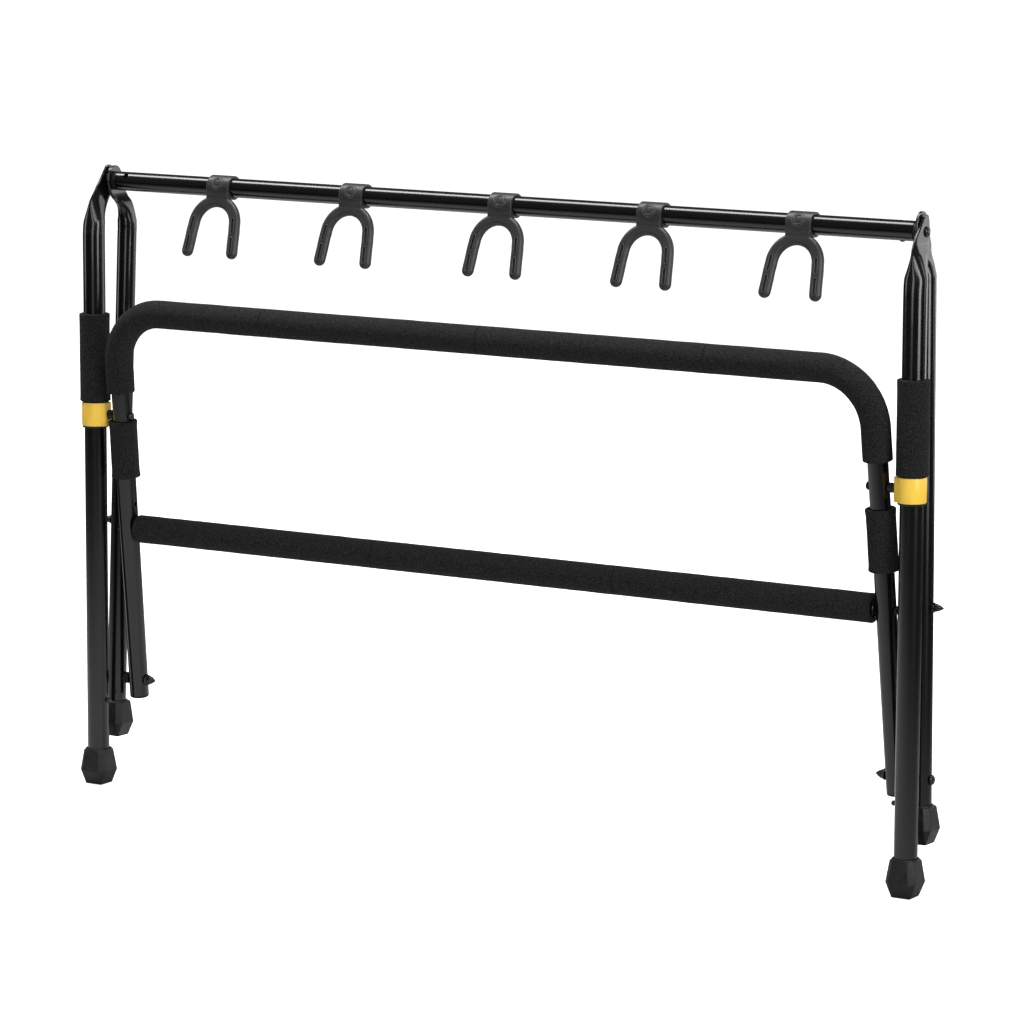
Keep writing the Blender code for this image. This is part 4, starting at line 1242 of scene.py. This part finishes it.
def slot_outline(ends, half, forward, sides):
    """Points round a slot with round ends, at a distance forward of a yoke's middle plane."""
    (a_across, a_down), (b_across, b_down) = ends
    length = math.hypot(b_across - a_across, b_down - a_down)
    along = ((b_across - a_across) / length, (b_down - a_down) / length)
    beside = (along[1], -along[0])
    points = []
    for angle in ring_angles(sides):
        run = math.cos(angle) * half + length / 2 * (1 if math.cos(angle) > 0 else -1)
        wide = math.sin(angle) * half
        across = (a_across + b_across) / 2 + along[0] * run + beside[0] * wide
        down = (a_down + b_down) / 2 + along[1] * run + beside[1] * wide
        points.append(yoke_point(0, across, down, forward))
    return points


def slot_cutter(ends):
    """A long cutter with round ends for one slot on the front face of a prong."""
    face = YOKE_FORWARD + PRONG_THIN
    levels = (face - SLOT_DEPTH, face + 0.002)
    return loft("cutter", [slot_outline(ends, SLOT_HALF, forward, 24) for forward in levels])


def yoke_shape():
    """One yoke at X = 0: fork, clip and strap melted together, then bored and slotted."""
    yoke = loft("yoke_shape", fork_rings())
    combine(yoke, loft("clip", clip_rings()), "UNION")
    combine(yoke, loft("neck", neck_rings()), "UNION")
    step = yoke.modifiers.new("melt", "REMESH")
    step.mode = "VOXEL"
    step.voxel_size = 0.00045
    apply_modifiers(yoke)
    step = yoke.modifiers.new("ease", "SMOOTH")
    step.factor = 0.5
    step.iterations = 5
    apply_modifiers(yoke)
    drill(yoke, at(-0.04, 0, AXIS.z), X_AXIS, 0.08, CLIP_BORE, 72)
    rims = []
    for side in (-1, 1):
        upper = ((side * 0.0266, 0.0382), (side * 0.0284, 0.0528))
        lower = ((side * 0.0288, 0.0600), (side * 0.0299, 0.0755))
        for ends in (upper, lower):
            combine(yoke, slot_cutter(ends), "DIFFERENCE")
            rims.append(slot_rim(ends))
    return join_meshes(yoke, rims)


def slot_rim(ends):
    """The thin raised lip round one slot."""
    points = slot_outline(ends, SLOT_RIM_HALF, YOKE_FORWARD + PRONG_THIN, 48)
    front = (yoke_point(0, 0, 0, 1) - yoke_point(0, 0, 0, 0)).normalized()
    rings = []
    for i, spot in enumerate(points):
        way = (points[(i + 1) % 48] - points[i - 1]).normalized()
        rings.append(slot_ring(spot, front, way.cross(front), RIM_THICK, RIM_THICK, 8))
    return loft("rim", rings, True)


def join_meshes(item, others):
    """Add the meshes of other shapes to one item and drop them."""
    shape = bmesh.new()
    for source in [item] + others:
        shape.from_mesh(source.data)
    shape.to_mesh(item.data)
    shape.free()
    for source in others:
        bpy.data.objects.remove(source, do_unlink=True)
    return item


def clip_surface(x, tilt_up):
    """A function that gives points of a clip's round front from two lengths on it."""

    def point(a, b):
        angle = tilt_up + b / CLIP_RADIUS
        radius = CLIP_RADIUS - 0.00005
        return yoke_point(x, a, -radius * math.sin(angle), radius * math.cos(angle))

    return point


def build_yokes():
    master = yoke_shape()
    for number, x in enumerate(YOKE_X, 1):
        name = "yoke_" + str(number)
        yoke = add_object(name + "_moulding", master.data.copy())
        yoke.data.transform(Matrix.Translation((x, 0, 0)))
        place(yoke, name, "charcoal_moulding", name, angle=38)
        surface = clip_surface(x, math.radians(8))
        for part, radius in (("outer", 0.0074), ("inner", 0.0052)):
            mark = ring_on(name + "_plain_ring_" + part, surface, radius, 0.00070)
            place(mark, name, "charcoal_moulding")
    bpy.data.objects.remove(master, do_unlink=True)


# ---------------------------------------------------------------- build


def dress_hidden_nodes():
    """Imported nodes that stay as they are, the cross tube's end plugs, get the rubber finish."""
    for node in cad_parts.values():
        if node.hide_render:
            continue
        node.data.materials.clear()
        node.data.materials.append(MATERIALS["black_rubber"])


def build_object():
    build_bar()
    for side, tag in SIDES:
        build_front_leg(side, tag)
        build_rear_leg(side, tag)
        build_collar(side, tag)
        build_links(side, tag)
    build_leg_washer()
    build_feet()
    build_cradle_tube()
    build_cross_bar()
    build_foam()
    build_yokes()
    dress_hidden_nodes()


# ---------------------------------------------------------------- stage


def build_floor():
    """A plain pale floor. It looks white, and lights the rack less the further away it is."""
    shape = bmesh.new()
    reach = 60
    places = ((-reach, -reach), (reach, -reach), (reach, reach), (-reach, reach))
    shape.faces.new([shape.verts.new((x, y, -0.0004)) for x, y in places])
    floor = mesh_object("studio_floor", shape)
    make = Recipe("studio_floor")
    output = make.tree.nodes["Material Output"]
    blend = make.node("MixShader")
    paths = make.node("LightPath")
    unseen = make.node("BsdfDiffuse")
    shift = make.node("Mapping", Location=(0.35, 0.10, 0))
    make.link(make.coords.outputs["Object"], shift.inputs["Vector"])
    length = make.node("VectorMath")
    length.operation = "LENGTH"
    make.link(shift.outputs["Vector"], length.inputs[0])
    away = length.outputs["Value"]
    near = make.span(away, 0.7, 2.1, 1.0, 0.0)
    tint = make.mix(near, (0.07, 0.07, 0.07), (0.62, 0.62, 0.62))
    make.link(tint, unseen.inputs["Color"])
    make.value(Roughness=0.9, Base_Color=(0.9, 0.9, 0.9, 1))
    make.value(Specular_IOR_Level=0.0, Emission_Color=(1, 1, 1, 1))
    make.link(make.span(away, 1.0, 3.0, 0.80, 1.02), make.shader.inputs["Emission Strength"])
    make.link(paths.outputs["Is Camera Ray"], blend.inputs[0])
    make.link(unseen.outputs[0], blend.inputs[1])
    make.link(make.shader.outputs[0], blend.inputs[2])
    make.link(blend.outputs[0], output.inputs["Surface"])
    floor.data.materials.append(make.material)


def build_world():
    world = bpy.data.worlds.new("studio")
    bpy.context.scene.world = world
    world.use_nodes = True
    tree = world.node_tree
    tree.nodes.clear()
    output = tree.nodes.new("ShaderNodeOutputWorld")
    blend = tree.nodes.new("ShaderNodeMixShader")
    paths = tree.nodes.new("ShaderNodeLightPath")
    for socket, (level, strength) in enumerate(((0.9, 0.10), (1.0, 1.05)), 1):
        back = tree.nodes.new("ShaderNodeBackground")
        back.inputs["Color"].default_value = (level, level, level, 1)
        back.inputs["Strength"].default_value = strength
        tree.links.new(back.outputs[0], blend.inputs[socket])
    tree.links.new(paths.outputs["Is Camera Ray"], blend.inputs[0])
    tree.links.new(blend.outputs[0], output.inputs["Surface"])


def soft_light(name, centre, target, size, power):
    data = bpy.data.lights.new(name, "AREA")
    data.shape = "RECTANGLE"
    data.size, data.size_y = size
    data.energy = power
    light = add_object(name, data)
    light.location = centre
    way = Vector(target) - Vector(centre)
    light.rotation_euler = way.to_track_quat("-Z", "Y").to_euler()
    light.visible_camera = False


def upright_box(name, azimuth, distance, low, high, width, radiance):
    """A tall soft box that stands round the rack and faces it. Azimuth 0 is in front."""
    turn = math.radians(azimuth)
    x = distance * math.sin(turn)
    y = -distance * math.cos(turn)
    middle = (low + high) / 2
    power = radiance * math.pi * width * (high - low)
    soft_light(name, (x, y, middle), (0, 0, middle), (width, high - low), power)


# Name, azimuth in degrees, distance, low end, high end, width, radiance
UPRIGHT_BOXES = (
    ("front_box", 11, 2.7, 0.30, 1.9, 0.70, 3.4),
    ("right_box", 74, 2.7, 0.26, 2.0, 0.80, 7.5),
    ("left_box", -72, 2.9, 0.30, 2.0, 0.7, 2.6),
    ("rear_box", 122, 3.2, 0.30, 1.9, 0.6, 2.6),
    ("rear_right_box", 150, 3.2, 0.02, 2.6, 0.8, 1.9),
    ("white_sweep", 180, 3.6, 0.02, 1.6, 4.5, 0.8),
)


def build_lights():
    soft_light("overhead_strip", (-1.2, 0.0, 2.9), (-1.2, 0.0, 0.0), (4.2, 0.8), 122)
    for box in UPRIGHT_BOXES:
        upright_box(*box)
    soft_light("front_fill", (2.9, -2.6, 2.9), (0, 0, 0.4), (2.2, 2.2), 64)


def build_camera():
    """The camera stands well back, to the right of the front and a little above the bar."""
    azimuth = math.radians(31.3602)
    height = math.radians(9.154)
    roll = math.radians(0.2386)
    target = Vector((0.01907, AXIS.y, 0.36211))
    distance = 5.3473
    back = Vector(
        (
            math.sin(azimuth) * math.cos(height),
            -math.cos(azimuth) * math.cos(height),
            math.sin(height),
        )
    )
    right = Vector((math.cos(azimuth), math.sin(azimuth), 0))
    up = back.cross(right)
    turned_right = right * math.cos(roll) + up * math.sin(roll)
    turned_up = up * math.cos(roll) - right * math.sin(roll)
    data = bpy.data.cameras.new("camera")
    data.sensor_width = 36
    data.lens = 170.9
    camera = add_object("camera", data)
    matrix = Matrix((turned_right, turned_up, back)).transposed().to_4x4()
    matrix.translation = target + back * distance
    camera.matrix_world = matrix
    bpy.context.scene.camera = camera


bpy.context.scene.view_settings.view_transform = "Standard"
build_object()
build_floor()
build_world()
build_lights()
build_camera()
